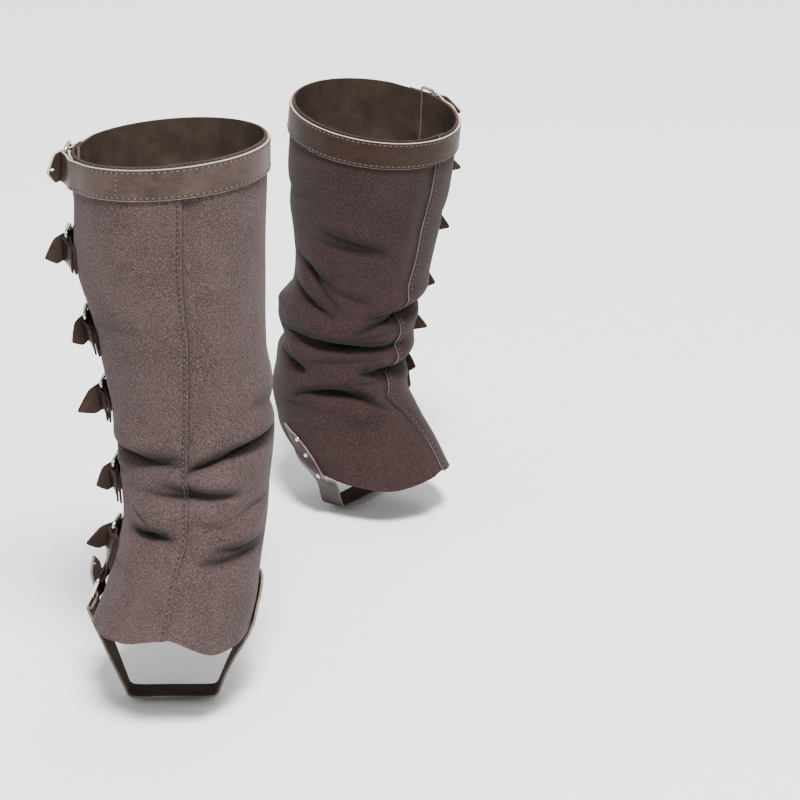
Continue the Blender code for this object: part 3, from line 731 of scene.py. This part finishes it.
def levelStation(cover, angle, level, width, lift):
    high = min(topLevel(cover), level + width / 2)
    low = high - width
    out = lift + overFolds(cover, angle, high, low)
    top, bottom = coverPoint(cover, angle, high, out), coverPoint(cover, angle, low, out)
    return (top, (top + bottom) / 2, bottom, coverNormal(cover, angle, level))


def uprightStation(cover, angle, level, turn, lift):
    points = [coverPoint(cover, angle + step, level, lift) for step in (-turn, 0, turn)]
    if abs(wrapped(angle - turn)) > abs(wrapped(angle + turn)):
        points.reverse()
    return (*points, coverNormal(cover, angle, level))


def hemFront(cover):
    yaw = math.radians(sectionColumn(cover, "yaw")[-1])
    return np.array((math.sin(yaw), -math.cos(yaw), 0.0))


def makeSeat(cover, angle, level, droop, upright=False):
    # a buckle's own frame: along its strap, across it, and out
    middle = coverPoint(cover, angle, level, overFolds(cover, angle, level + 12, level - 12))
    out = coverNormal(cover, angle, level)
    around = unit(coverPoint(cover, angle - 2, level) - coverPoint(cover, angle + 2, level))
    along = np.cross(out, around) if upright else around
    if upright and along[2] < 0:
        along = -along
    along = unit(along - out * np.dot(along, out))
    down = np.cross(out, along)
    down = down if down[2] < 0 else -down
    along = along * math.cos(math.radians(droop)) + down * math.sin(math.radians(droop))
    across = unit(np.cross(out, along))
    first = np.dot(across, hemFront(cover)) if upright else across[2]
    return {"middle": middle, "along": along, "across": across, "out": out, "edge": 1 if first > 0 else -1}


def seatPoint(seat, along, out, across=0.0):
    return seat["middle"] + (seat["along"] * along + seat["out"] * out + seat["across"] * across) * mm


def seatStation(seat, along, out, halfWidth):
    reach = halfWidth * seat["edge"]
    return (seatPoint(seat, along, out, reach), seatPoint(seat, along, out),
            seatPoint(seat, along, out, -reach), seat["out"])


def loopRadius(thick):
    return frameSizes["wire"] + frameSizes["play"] + thick / 2


def loopStations(seat, halfWidth, thick):
    radius = loopRadius(thick)
    bar, out = frameSizes["along"], frameSizes["out"]
    made = [seatStation(seat, bar + 3.6, out - radius - 0.2, halfWidth)]
    for turn in (-90, -135, -180, -225, -270):
        a = math.radians(turn)
        made.append(seatStation(seat, bar + radius * math.cos(a), out + radius * math.sin(a), halfWidth))
    made.append(seatStation(seat, bar + 4.5, out + 0.4, halfWidth))
    return made


def strapEnd(seat, width, looped, tip, lift):
    # under the free bar, over the looped bar, and on to the pointed tip
    half = width / 2
    bar, out, thick = frameSizes["along"], frameSizes["out"], strapSizes["thick"]
    clear = loopRadius(looped) + looped / 2 + strapSizes["gap"] + thick / 2
    startAlong, startOut = -5.0, strapLift + 0.2
    reach = math.hypot(bar - startAlong, out - startOut)
    slope = math.atan2(out - startOut, bar - startAlong) + math.asin(clear / reach)
    along, high = bar - clear * math.sin(slope), out + clear * math.cos(slope)
    made = [seatStation(seat, *place, half) for place in (
        (-bar - 1.5, strapLift), (startAlong - 1.4, strapLift),
        (startAlong + 0.6, startOut + 0.25), (along, high))]
    steps, run = 5, 3.6
    for i in range(steps):
        bend = slope + (math.radians(lift) - slope) * (i + 1) / steps
        step = run if i == 0 else (tip - run) / (steps - 1)
        along, high = along + step * math.cos(bend), high + step * math.sin(bend)
        share = (i + 1) / steps
        narrow = 1.0 - 0.9 * max(0.0, (share - 0.35) / 0.65) ** 1.15
        made.append(seatStation(seat, along, high, half * narrow))
    return made


def smoothStations(stations, steps):
    # a curve through the stations, so that the strap bends and doesn't kink
    rows = np.array([[np.asarray(value, float) for value in station] for station in stations])
    padded = np.concatenate([[2 * rows[0] - rows[1]], rows, [2 * rows[-1] - rows[-2]]])
    made = []
    for i in range(1, len(padded) - 2):
        p0, p1, p2, p3 = padded[i - 1:i + 3]
        for t in np.arange(steps) / steps:
            made.append(0.5 * (2 * p1 + (p2 - p0) * t + (2 * p0 - 5 * p1 + 4 * p2 - p3) * t * t
                               + (3 * p1 - p0 - 3 * p2 + p3) * t ** 3))
    made.append(padded[-2])
    return np.array(made)


def strapMesh(name, stations, thick, slots, crown=0.0, shape=9):
    # the section is a slightly crowned strip with rounded corners, carried along the stations
    line = smoothStations(stations, strapSizes["curveSteps"])
    upper, middle, lower = line[:, 0], line[:, 1], line[:, 2]
    tangent = unit(np.gradient(middle, axis=0))
    cross = unit(upper - lower)
    out = np.cross(tangent, cross)
    # the grain side is judged at the last station, because a looped strap turns over on its way
    out = unit(out if np.dot(out[-1], line[-1, 3]) > 0 else -out)
    width = np.linalg.norm(upper - lower, axis=1)
    soft = 0.35 * mm
    ease = np.clip(2 * soft / np.maximum(width, 2 * soft), 0, 0.9)
    flat = np.linspace(-1, 1, shape)
    section = [(u, 0.5) for u in flat] + [(1.0, 0.22), (1.0, -0.22)]
    section += [(u, -0.5) for u in flat[::-1]] + [(-1.0, -0.22), (-1.0, 0.22)]
    rings = []
    for n, (u, w) in enumerate(section):
        onFace = abs(w) == 0.5
        u = u * (1 - ease) if onFace and abs(u) == 1 else np.full(len(line), float(u))
        rise = w * thick * mm + (crown * mm * (1 - u * u) if w > 0 and onFace else 0.0)
        base = (middle + (upper - lower) / 2 * u[:, None]
                + ((upper + lower) / 2 - middle) * (u * u)[:, None])
        rings.append(base + out * np.broadcast_to(rise, u.shape)[:, None])
    points = np.stack(rings, axis=1)
    count, around = points.shape[:2]
    faces, kinds = [], []
    for i in range(count - 1):
        for j in range(around):
            k = (j + 1) % around
            faces.append((i * around + j, i * around + k, (i + 1) * around + k, (i + 1) * around + j))
            kinds.append(0 if j < shape - 1 else 2 if shape + 1 < j < 2 * shape + 1 else 1)
    faces += [tuple(range(around - 1, -1, -1)), tuple((count - 1) * around + j for j in range(around))]
    kinds += [1, 1]
    across = np.tile([abs(u) for u, _ in section], count)
    piece = meshPiece(name, points, faces, slots, kinds, {"across": across})
    turned = bmesh.new()
    turned.from_mesh(piece.data)
    bmesh.ops.recalc_face_normals(turned, faces=turned.faces)
    turned.to_mesh(piece.data)
    turned.free()
    sharpRim(piece)
    length = float(np.sum(np.linalg.norm(np.diff(middle, axis=0), axis=1)))
    return piece, length, line


def punchHole(piece, line, radius):
    # a real hole through the strap near its tip, cut by a small rod
    index = len(line) - strapSizes["holeBack"]
    forward, cross = line[index + 1, 1] - line[index - 1, 1], line[index, 0] - line[index, 2]
    place = Vector(np.cross(forward, cross)).to_track_quat("Z", "Y").to_matrix().to_4x4()
    place.translation = Vector(line[index, 1])
    cutter = bmesh.new()
    bmesh.ops.create_cone(cutter, cap_ends=True, segments=14, radius1=radius * mm, radius2=radius * mm,
                          depth=9 * mm, matrix=place)
    mesh = bpy.data.meshes.new("rod")
    cutter.to_mesh(mesh)
    cutter.free()
    mesh.materials.append(finishes["strapEdge"])
    rod = addObject("rod", mesh)
    cut = piece.modifiers.new("hole", "BOOLEAN")
    cut.operation = "DIFFERENCE"
    cut.object = rod
    cut.solver = "EXACT"
    plain = plainMesh(piece)
    piece.modifiers.remove(cut)
    piece.data = plain
    bpy.data.objects.remove(rod)


def tabOnCover(cover, angle, level, slant, width, shares, out):
    # flat stations of a loop behind its frame, share of the loop's run away from the looped bar
    bar = math.degrees(frameSizes["along"] / float(sectionValue(cover, "halfWidth", level)))
    turns = [angle - bar - strapSizes["tabRun"] * share for share in shares]
    return [levelStation(cover, at, level + (at - angle) * slant, width, out) for at in turns]


# buckles

def buckleFrame(name, node, seat, strapWidth):
    halfAcross = strapWidth / 2 + frameSizes["spare"]
    curve = bpy.data.curves.new(name, "CURVE")
    curve.dimensions = "3D"
    curve.bevel_depth = frameSizes["wire"] * mm
    curve.bevel_resolution = 3
    curve.use_fill_caps = True
    corner = frameSizes["corner"]
    path = []
    for signAlong, signAcross, start in ((1, 1, 0), (-1, 1, 90), (-1, -1, 180), (1, -1, 270)):
        for turn in np.linspace(0, 90, 7):
            a = math.radians(start + turn)
            path.append((signAlong * (frameSizes["along"] - corner) + corner * math.cos(a),
                         signAcross * (halfAcross - corner) + corner * math.sin(a), 0.0))
    ring = curve.splines.new("POLY")
    ring.points.add(len(path) - 1)
    for point, spot in zip(ring.points, path):
        point.co = (spot[0] * mm, spot[1] * mm, 0, 1)
    ring.use_cyclic_u = True
    route = frameSizes["prongRoute"]
    pin = curve.splines.new("POLY")
    pin.points.add(len(route) - 1)
    for n, (point, (along, out)) in enumerate(zip(pin.points, route)):
        point.co = (along * mm, 0, out * mm, 1)
        point.radius = frameSizes["prong"] / frameSizes["wire"] * (1.0 if n < 5 else 0.8)
    shaped = addObject(name + "Curve", curve)
    mesh = plainMesh(shaped)
    bpy.data.objects.remove(shaped)
    welded = bmesh.new()
    welded.from_mesh(mesh)
    bmesh.ops.remove_doubles(welded, verts=welded.verts, dist=0.001 * mm)
    welded.to_mesh(mesh)
    welded.free()
    rows = Matrix([seat["along"], seat["across"], seat["out"]]).transposed().to_4x4()
    rows.translation = Vector(seatPoint(seat, 0, frameSizes["out"]))
    mesh.transform(rows)
    mesh.materials.clear()
    mesh.materials.append(finishes["nickel"])
    mesh.name = name
    piece = addObject(name, mesh)
    mesh.polygons.foreach_set("use_smooth", np.full(len(mesh.polygons), True))
    mesh.polygons.foreach_set("material_index", np.zeros(len(mesh.polygons), dtype=np.int32))
    return finishPiece(piece, "buckle_metal", node)


# repeated sewing and rivets, by Geometry Nodes

def beadTree():
    # a small round bead on each point, turned by the point's outward and forward vectors
    tree = bpy.data.node_groups.new("beadRow", "GeometryNodeTree")
    addSocket(tree, "Geometry", "INPUT", "Geometry")
    sizes = {}
    for key, value in (("Long", 0.0012), ("Wide", 0.0005), ("High", 0.0004)):
        sizes[key] = addSocket(tree, key, "INPUT", "Float", value).identifier
    sizes["Finish"] = addSocket(tree, "Finish", "INPUT", "Material").identifier
    addSocket(tree, "Geometry", "OUTPUT", "Geometry")
    here = tree.nodes.new("NodeGroupInput")
    out = tree.nodes.new("NodeGroupOutput")
    link = tree.links.new
    rotation = None
    for attribute, axis, pivot in (("outward", "Z", "AUTO"), ("forward", "X", "Z")):
        read = newNode(tree, "GeometryNodeInputNamedAttribute", data_type="FLOAT_VECTOR")
        read.inputs["Name"].default_value = attribute
        turn = newNode(tree, "FunctionNodeAlignRotationToVector", axis=axis, pivot_axis=pivot)
        link(read.outputs[0], turn.inputs["Vector"])
        if rotation is not None:
            link(rotation, turn.inputs["Rotation"])
        rotation = turn.outputs["Rotation"]
    bead = tree.nodes.new("GeometryNodeMeshUVSphere")
    setInputs(bead, Segments=8, Rings=5, Radius=1.0)
    soft = tree.nodes.new("GeometryNodeSetShadeSmooth")
    link(bead.outputs["Mesh"], soft.inputs["Geometry"])
    size = tree.nodes.new("ShaderNodeCombineXYZ")
    for axis, key in zip("XYZ", ("Long", "Wide", "High")):
        link(here.outputs[key], size.inputs[axis])
    placed = tree.nodes.new("GeometryNodeInstanceOnPoints")
    link(here.outputs["Geometry"], placed.inputs["Points"])
    link(soft.outputs["Geometry"], placed.inputs["Instance"])
    link(rotation, placed.inputs["Rotation"])
    link(size.outputs[0], placed.inputs["Scale"])
    real = tree.nodes.new("GeometryNodeRealizeInstances")
    link(placed.outputs["Instances"], real.inputs["Geometry"])
    painted = tree.nodes.new("GeometryNodeSetMaterial")
    link(real.outputs["Geometry"], painted.inputs["Geometry"])
    link(here.outputs["Finish"], painted.inputs["Material"])
    link(painted.outputs["Geometry"], out.inputs["Geometry"])
    return tree, sizes


beadNodes, beadSockets = beadTree()

sewing = {                         # in millimetres, where nothing else is said
    "seamPitch": 4.4,
    "beltPitch": 4.5,
    "crossPitch": 3.6,
    "strapPitch": 3.4,
    "fromSeamEdge": 2.75,          # degrees
    "underBelt": 2.5,
    "aboveHem": 1.5,
    "proud": 0.12,
}

beadSizes = {                      # half length, half width, half height, in millimetres
    "thread": (1.0, 0.48, 0.42),
    "seamThread": (1.1, 0.5, 0.42),
    "paintedHoleShade": (1.05, 0.62, 0.34),
    "nickel": (2.5, 2.5, 1.1),
}


def beadPiece(name, spots, outward, forward, finish, slotName):
    mesh = bpy.data.meshes.new(name + "Points")
    mesh.from_pydata(np.asarray(spots).tolist(), [], [])
    for key, values in (("outward", outward), ("forward", forward)):
        made = mesh.attributes.new(key, "FLOAT_VECTOR", "POINT")
        made.data.foreach_set("vector", np.asarray(values, dtype=np.float32).ravel())
    piece = addObject(name, mesh)
    beads = piece.modifiers.new("beads", "NODES")
    beads.node_group = beadNodes
    for key, value in zip(("Long", "Wide", "High"), beadSizes[finish]):
        beads[beadSockets[key]] = value * mm
    beads[beadSockets["Finish"]] = finishes[finish]
    plain = plainMesh(piece)
    piece.modifiers.remove(beads)
    piece.data = plain
    print(name, len(plain.polygons), "faces")
    return finishPiece(piece, slotName)


def evenly(spots, outs, pitch, half):
    # points a pitch apart along a drawn line, from a whole or a half pitch on
    steps = np.linalg.norm(np.diff(spots, axis=0), axis=1)
    at = np.concatenate([[0], np.cumsum(steps)])
    count = max(2, round(at[-1] / pitch))
    where = (np.arange(count) + (0.5 if half else 0.0)) * at[-1] / count
    places = np.stack([np.interp(where, at, spots[:, i]) for i in range(3)], axis=1)
    faces = unit(np.stack([np.interp(where, at, outs[:, i]) for i in range(3)], axis=1))
    ahead = np.stack([np.interp(where + 0.4 * mm, at, spots[:, i]) for i in range(3)], axis=1)
    behind = np.stack([np.interp(where - 0.4 * mm, at, spots[:, i]) for i in range(3)], axis=1)
    return places, faces, unit(ahead - behind)


def stitchRows(name, rows, slotName, thread="thread"):
    # rows is a list of (points, outward, pitch); a thread on each half pitch and, between them, a near black
    # bead: painted shade for the needle hole
    for tag, finish, half, drop in (("Stitches", thread, True, 0.0), ("PaintedHoleShades", "paintedHoleShade", False, 0.1)):
        laid = [evenly(spots, outs, pitch * mm, half) for spots, outs, pitch in rows]
        spots, outs, ahead = (np.concatenate([row[i] for row in laid]) for i in range(3))
        beadPiece(name + tag, spots - outs * drop * mm, outs, ahead, finish, slotName)


def stationLine(line, share, thick, start=0, end=None):
    # a row of sewing on a strap, share of the way from its middle to its upper edge
    part = line[start:end]
    upper, middle, lower = part[:, 0], part[:, 1], part[:, 2]
    side = (upper - lower) / 2
    out = np.cross(unit(np.gradient(middle, axis=0)), unit(side))
    out = out * np.where(np.sum(out * part[:, 3], axis=1, keepdims=True) < 0, -1.0, 1.0)
    spots = middle + side * share + ((upper + lower) / 2 - middle) * share * share
    return spots + out * (thick / 2 + sewing["proud"]) * mm, out


def crossLine(line, index, share, thick):
    # a row of sewing straight across a strap
    upper, lower = line[index, 0], line[index, 2]
    spots = np.array([(upper + lower) / 2 + (upper - lower) / 2 * s for s in np.linspace(share, -share, 9)])
    out = np.repeat(unit(line[index, 3])[None], 9, axis=0)
    return spots + out * (thick / 2 + sewing["proud"]) * mm, out


# one cover, dressed

def buildBelt(cover, rows):
    angle, droop, tip, lift = cover["beltClosure"]
    width = strapSizes["beltWidth"]
    middle = topLevel(cover) - strapSizes["beltBelowTop"] - width / 2
    seat = makeSeat(cover, angle, middle, 0.0)
    endSeat = makeSeat(cover, angle, middle, droop)
    stations = tabOnCover(cover, angle, middle, 0.0, width, (0.9, 0.45), tabLift)
    stations += loopStations(seat, width / 2, strapSizes["thick"])
    above = tabLift + strapSizes["thick"] + 0.4
    stations += tabOnCover(cover, angle, middle, 0.0, width, (0.5, 1.0), above)
    bar = math.degrees(frameSizes["along"] / float(sectionValue(cover, "halfWidth", middle)))
    start, finish = angle - bar - strapSizes["tabRun"] * 1.55, angle + strapSizes["clearOfBar"] - 360
    count = round((start - finish) / strapSizes["beltStep"])
    firstOnCover = len(stations)
    stations += [levelStation(cover, start + (finish - start) * i / count, middle, width, strapLift)
                 for i in range(count + 1)]
    lastOnCover = len(stations) - 1
    stations += strapEnd(endSeat, width, strapSizes["thick"], tip, lift)
    name = cover["name"] + "Belt"
    slots = (cover["name"] + "Belt", "rawEdge", "fleshSide")
    piece, length, line = strapMesh(name, stations, strapSizes["thick"], slots, 0.2)
    punchHole(piece, line, 1.3)
    finishPiece(piece, "belt_leather", cover["name"] + "_belt")
    buckleFrame(cover["name"] + "Buckle1", cover["name"] + "_buckle_1", seat, width)
    steps = strapSizes["curveSteps"]
    onCover = firstOnCover * steps
    sewn = coverPoint(cover, 38, middle, strapLift)
    first = onCover + int(np.argmin(np.linalg.norm(line[onCover:, 1] - sewn, axis=1)))
    for share in (0.8, -0.8):
        sewnLine = stationLine(line, share, strapSizes["thick"], onCover - steps, lastOnCover * steps)
        rows.append((*sewnLine, sewing["beltPitch"]))
    rows.append((*crossLine(line, first, 0.8, strapSizes["thick"]), sewing["crossPitch"]))


def buildClosure(cover, number, row, rows):
    level, angle, droop, tip, lift = row
    radius = float(sectionValue(cover, "halfWidth", level))
    seat = makeSeat(cover, angle, level, droop)
    slant = math.tan(math.radians(droop)) * radius * math.pi / 180
    width, run, clear = strapSizes["width"], strapSizes["run"], strapSizes["clearOfBar"]
    behind = [angle + run - (run - clear) * i / 5 for i in range(6)]
    stations = [levelStation(cover, at, level + (at - angle) * slant, width, strapLift) for at in behind]
    stations += strapEnd(seat, width, strapSizes["tabThick"], tip, lift)
    name = f"{cover['name']}Strap{number}"
    slots = ("strapFace", "strapEdge", "fleshSide")
    piece, length, line = strapMesh(name, stations, strapSizes["thick"], slots, 0.15)
    finishPiece(piece, "strap_leather", f"{cover['name']}_strap_{number}")
    for share in (0.74, -0.74):
        rows.append((*stationLine(line, share, strapSizes["thick"], 1, 11), sewing["strapPitch"]))
    for index in (1, 10):
        rows.append((*crossLine(line, index, 0.74, strapSizes["thick"]), sewing["strapPitch"]))

    tabWidth = strapSizes["tabWidth"]
    stations = tabOnCover(cover, angle, level, slant, tabWidth, (1.0, 0.5), tabLift)
    stations += loopStations(seat, tabWidth / 2, strapSizes["tabThick"])
    above = tabLift + strapSizes["tabThick"] + 0.5
    stations += tabOnCover(cover, angle, level, slant, tabWidth, (0.5, 0.86), above)
    tab, length, line = strapMesh(f"{cover['name']}Tab{number}", stations, strapSizes["tabThick"], slots)
    finishPiece(tab, "strap_leather", f"{cover['name']}_tab_{number}")
    rows.append((*crossLine(line, len(line) - 4, 0.74, strapSizes["tabThick"]), sewing["strapPitch"]))
    buckleFrame(f"{cover['name']}Buckle{number}", f"{cover['name']}_buckle_{number}", seat, width)


def buildFootStrap(cover, rows, studs):
    foot, half = cover["foot"], strapSizes["footWidth"] / 2
    tabAngle = sectionColumn(cover, "edge")[-1] + leather["opening"] + 9
    seat = makeSeat(cover, tabAngle, hemLevel(cover) + 14, 0.0, True)
    front = hemFront(cover)
    side = np.array((-front[1], front[0], 0.0)) * cover["outward"]
    middle = (sectionColumn(cover, "x")[-1], sectionColumn(cover, "y")[-1], foot["bottom"])
    under = np.array(middle, float) + front * foot["shift"]
    up = np.array((0.0, 0.0, 1.0))

    def lowStation(across, rise, out):
        middle = under + side * across + up * rise
        return ((middle + front * half) * mm, middle * mm, (middle - front * half) * mm, out)

    turn = math.degrees(half / foot["radius"])
    stations = []
    narrows = (0.6, 0.9, 1.0, 1.0)
    for n, level in enumerate((foot["start"], foot["start"] - 4, foot["start"] - 12, hemLevel(cover) - 1)):
        at = foot["angle"] + 4 * n
        stations.append(uprightStation(cover, at, level, turn * narrows[n], strapLift + 0.3))
    wide = foot["bottomHalf"]
    stations += [lowStation(*place) for place in (
        (-wide - 7, 26, -side), (-wide, 9, -side), (-wide + 3, 3, -side), (-wide + 9, 0.9, -up),
        (0, 0.9, -up), (wide - 9, 0.9, -up), (wide - 3, 3, side), (wide, 9, side))]
    for level in (hemLevel(cover) - 1.5, hemLevel(cover) + 3):
        stations.append(uprightStation(cover, tabAngle, level, turn, strapLift + 0.4))
    stations += strapEnd(seat, strapSizes["footWidth"], strapSizes["tabThick"], 15, 24)
    name = cover["name"] + "FootStrap"
    slots = ("strapFace", "panelEdge", "fleshSide")
    piece, length, line = strapMesh(name, stations, strapSizes["thick"], slots, 0.1)
    punchHole(piece, line, 1.25)
    finishPiece(piece, "strap_leather", cover["name"] + "_foot_strap")
    for share, index in ((0.5, 3), (0.35, 8), (0.55, 12)):
        spots, outs = stationLine(line, share, strapSizes["thick"], index - 1, index + 2)
        studs.append((spots[1:2], outs[1:2]))

    half = strapSizes["tabWidth"] / 2
    turn = math.degrees(half / foot["radius"])
    tabTop = cover["closures"][-1][0] - strapSizes["width"] / 2 - 3
    stations = [uprightStation(cover, tabAngle, tabTop - drop, turn, tabLift) for drop in (0, 3)]
    stations += loopStations(seat, half, strapSizes["tabThick"])
    above = tabLift + strapSizes["tabThick"] + 0.6
    stations.append(uprightStation(cover, tabAngle, tabTop - 1, turn, above))
    tab, length, line = strapMesh(cover["name"] + "FootTab", stations, strapSizes["tabThick"],
                                  ("strapFace", "strapEdge", "fleshSide"))
    finishPiece(tab, "strap_leather", cover["name"] + "_foot_tab")
    buckleFrame(cover["name"] + "FootBuckle", cover["name"] + "_foot_buckle", seat, strapSizes["footWidth"])


def dressCover(cover):
    rows, studs = [], []
    outer = outerPanel(cover)
    inner = innerPanel(cover)
    buildBelt(cover, rows)
    for number, row in enumerate(cover["closures"], start=2):
        buildClosure(cover, number, row, rows)
    buildFootStrap(cover, rows, studs)
    upper = topLevel(cover) - strapSizes["beltWidth"] - sewing["underBelt"]
    levels = np.linspace(upper, hemLevel(cover) + sewing["aboveHem"], 240)
    angles = sectionValue(cover, "seam", levels) + sewing["fromSeamEdge"]
    seam = (coverPoint(cover, angles, levels, sewing["proud"], True), coverNormal(cover, angles, levels))
    stitchRows(cover["name"] + "Seam", [(*seam, sewing["seamPitch"])], "suede", "seamThread")
    stitchRows(cover["name"] + "Strap", rows, "strap_leather")
    spots, outs = (np.concatenate([stud[i] for stud in studs]) for i in (0, 1))
    ahead = np.cross(outs, (0.1, 0.2, 0.97))
    beadPiece(cover["name"] + "Rivets", spots, outs, ahead, "nickel", "buckle_metal")
    print(cover["name"], "cover dressed")


for cover in (nearCover, farCover):
    dressCover(cover)


# floor, light and camera

stageSettings = {
    "floorLevel": -0.3925,
    "floorColour": (0.93, 0.93, 0.925),
    "sky": (0.95, 0.96, 0.97),
    "skyStrength": 0.8,
    "camera": (0.091, -2.4035, 0.648),
    "pitch": 70.0,
    "lens": 144.0,
}

lampTable = [
    # name, place, aim, size, watts
    ("keyLamp", (0.45, -1.5, 2.1), (0.0, -0.1, -0.1), 0.5, 78.0),
    ("backLamp", (0.5, 1.3, 1.2), (0.0, 0.0, -0.1), 0.8, 10.0),
]

sunTable = {"turn": (30.0, 0.0, 6.0), "strength": 5.6, "soft": 12.0}


def buildStage():
    mesh = bpy.data.meshes.new("floor")
    flat = bmesh.new()
    bmesh.ops.create_grid(flat, x_segments=1, y_segments=1, size=6.0)
    bmesh.ops.translate(flat, verts=flat.verts, vec=(0, 3.0, stageSettings["floorLevel"]))
    flat.to_mesh(mesh)
    flat.free()
    made, tree, shader, place = newFinish("floorPaint")
    cloud = noiseNode(tree, place, 3.0, 2.0)
    pale = stageSettings["floorColour"]
    tree.links.new(mixColours(tree, cloud, pale, scaled(pale, 0.985)), shader.inputs["Base Color"])
    shader.inputs["Roughness"].default_value = 0.9
    mesh.materials.append(made)
    addObject("floor", mesh)
    world = bpy.data.worlds.new("paleRoom")
    world.use_nodes = True
    sky = world.node_tree.nodes["Background"]
    sky.inputs["Color"].default_value = (*stageSettings["sky"], 1.0)
    sky.inputs["Strength"].default_value = stageSettings["skyStrength"]
    bpy.context.scene.world = world
    for name, place, aim, size, watts in lampTable:
        lamp = bpy.data.lights.new(name, "AREA")
        lamp.size = size
        lamp.energy = watts
        holder = addObject(name, lamp)
        holder.location = place
        holder.rotation_euler = (Vector(aim) - Vector(place)).to_track_quat("-Z", "Y").to_euler()
    sun = bpy.data.lights.new("daylight", "SUN")
    sun.energy = sunTable["strength"]
    sun.angle = math.radians(sunTable["soft"])
    addObject("daylight", sun).rotation_euler = [math.radians(turn) for turn in sunTable["turn"]]


def buildCamera():
    lens = bpy.data.cameras.new("photoCamera")
    lens.lens = stageSettings["lens"]
    lens.sensor_width = 36.0
    holder = addObject("photoCamera", lens)
    holder.location = stageSettings["camera"]
    holder.rotation_euler = (math.radians(stageSettings["pitch"]), 0.0, 0.0)
    bpy.context.scene.camera = holder


buildStage()
buildCamera()
print("stage and camera set")
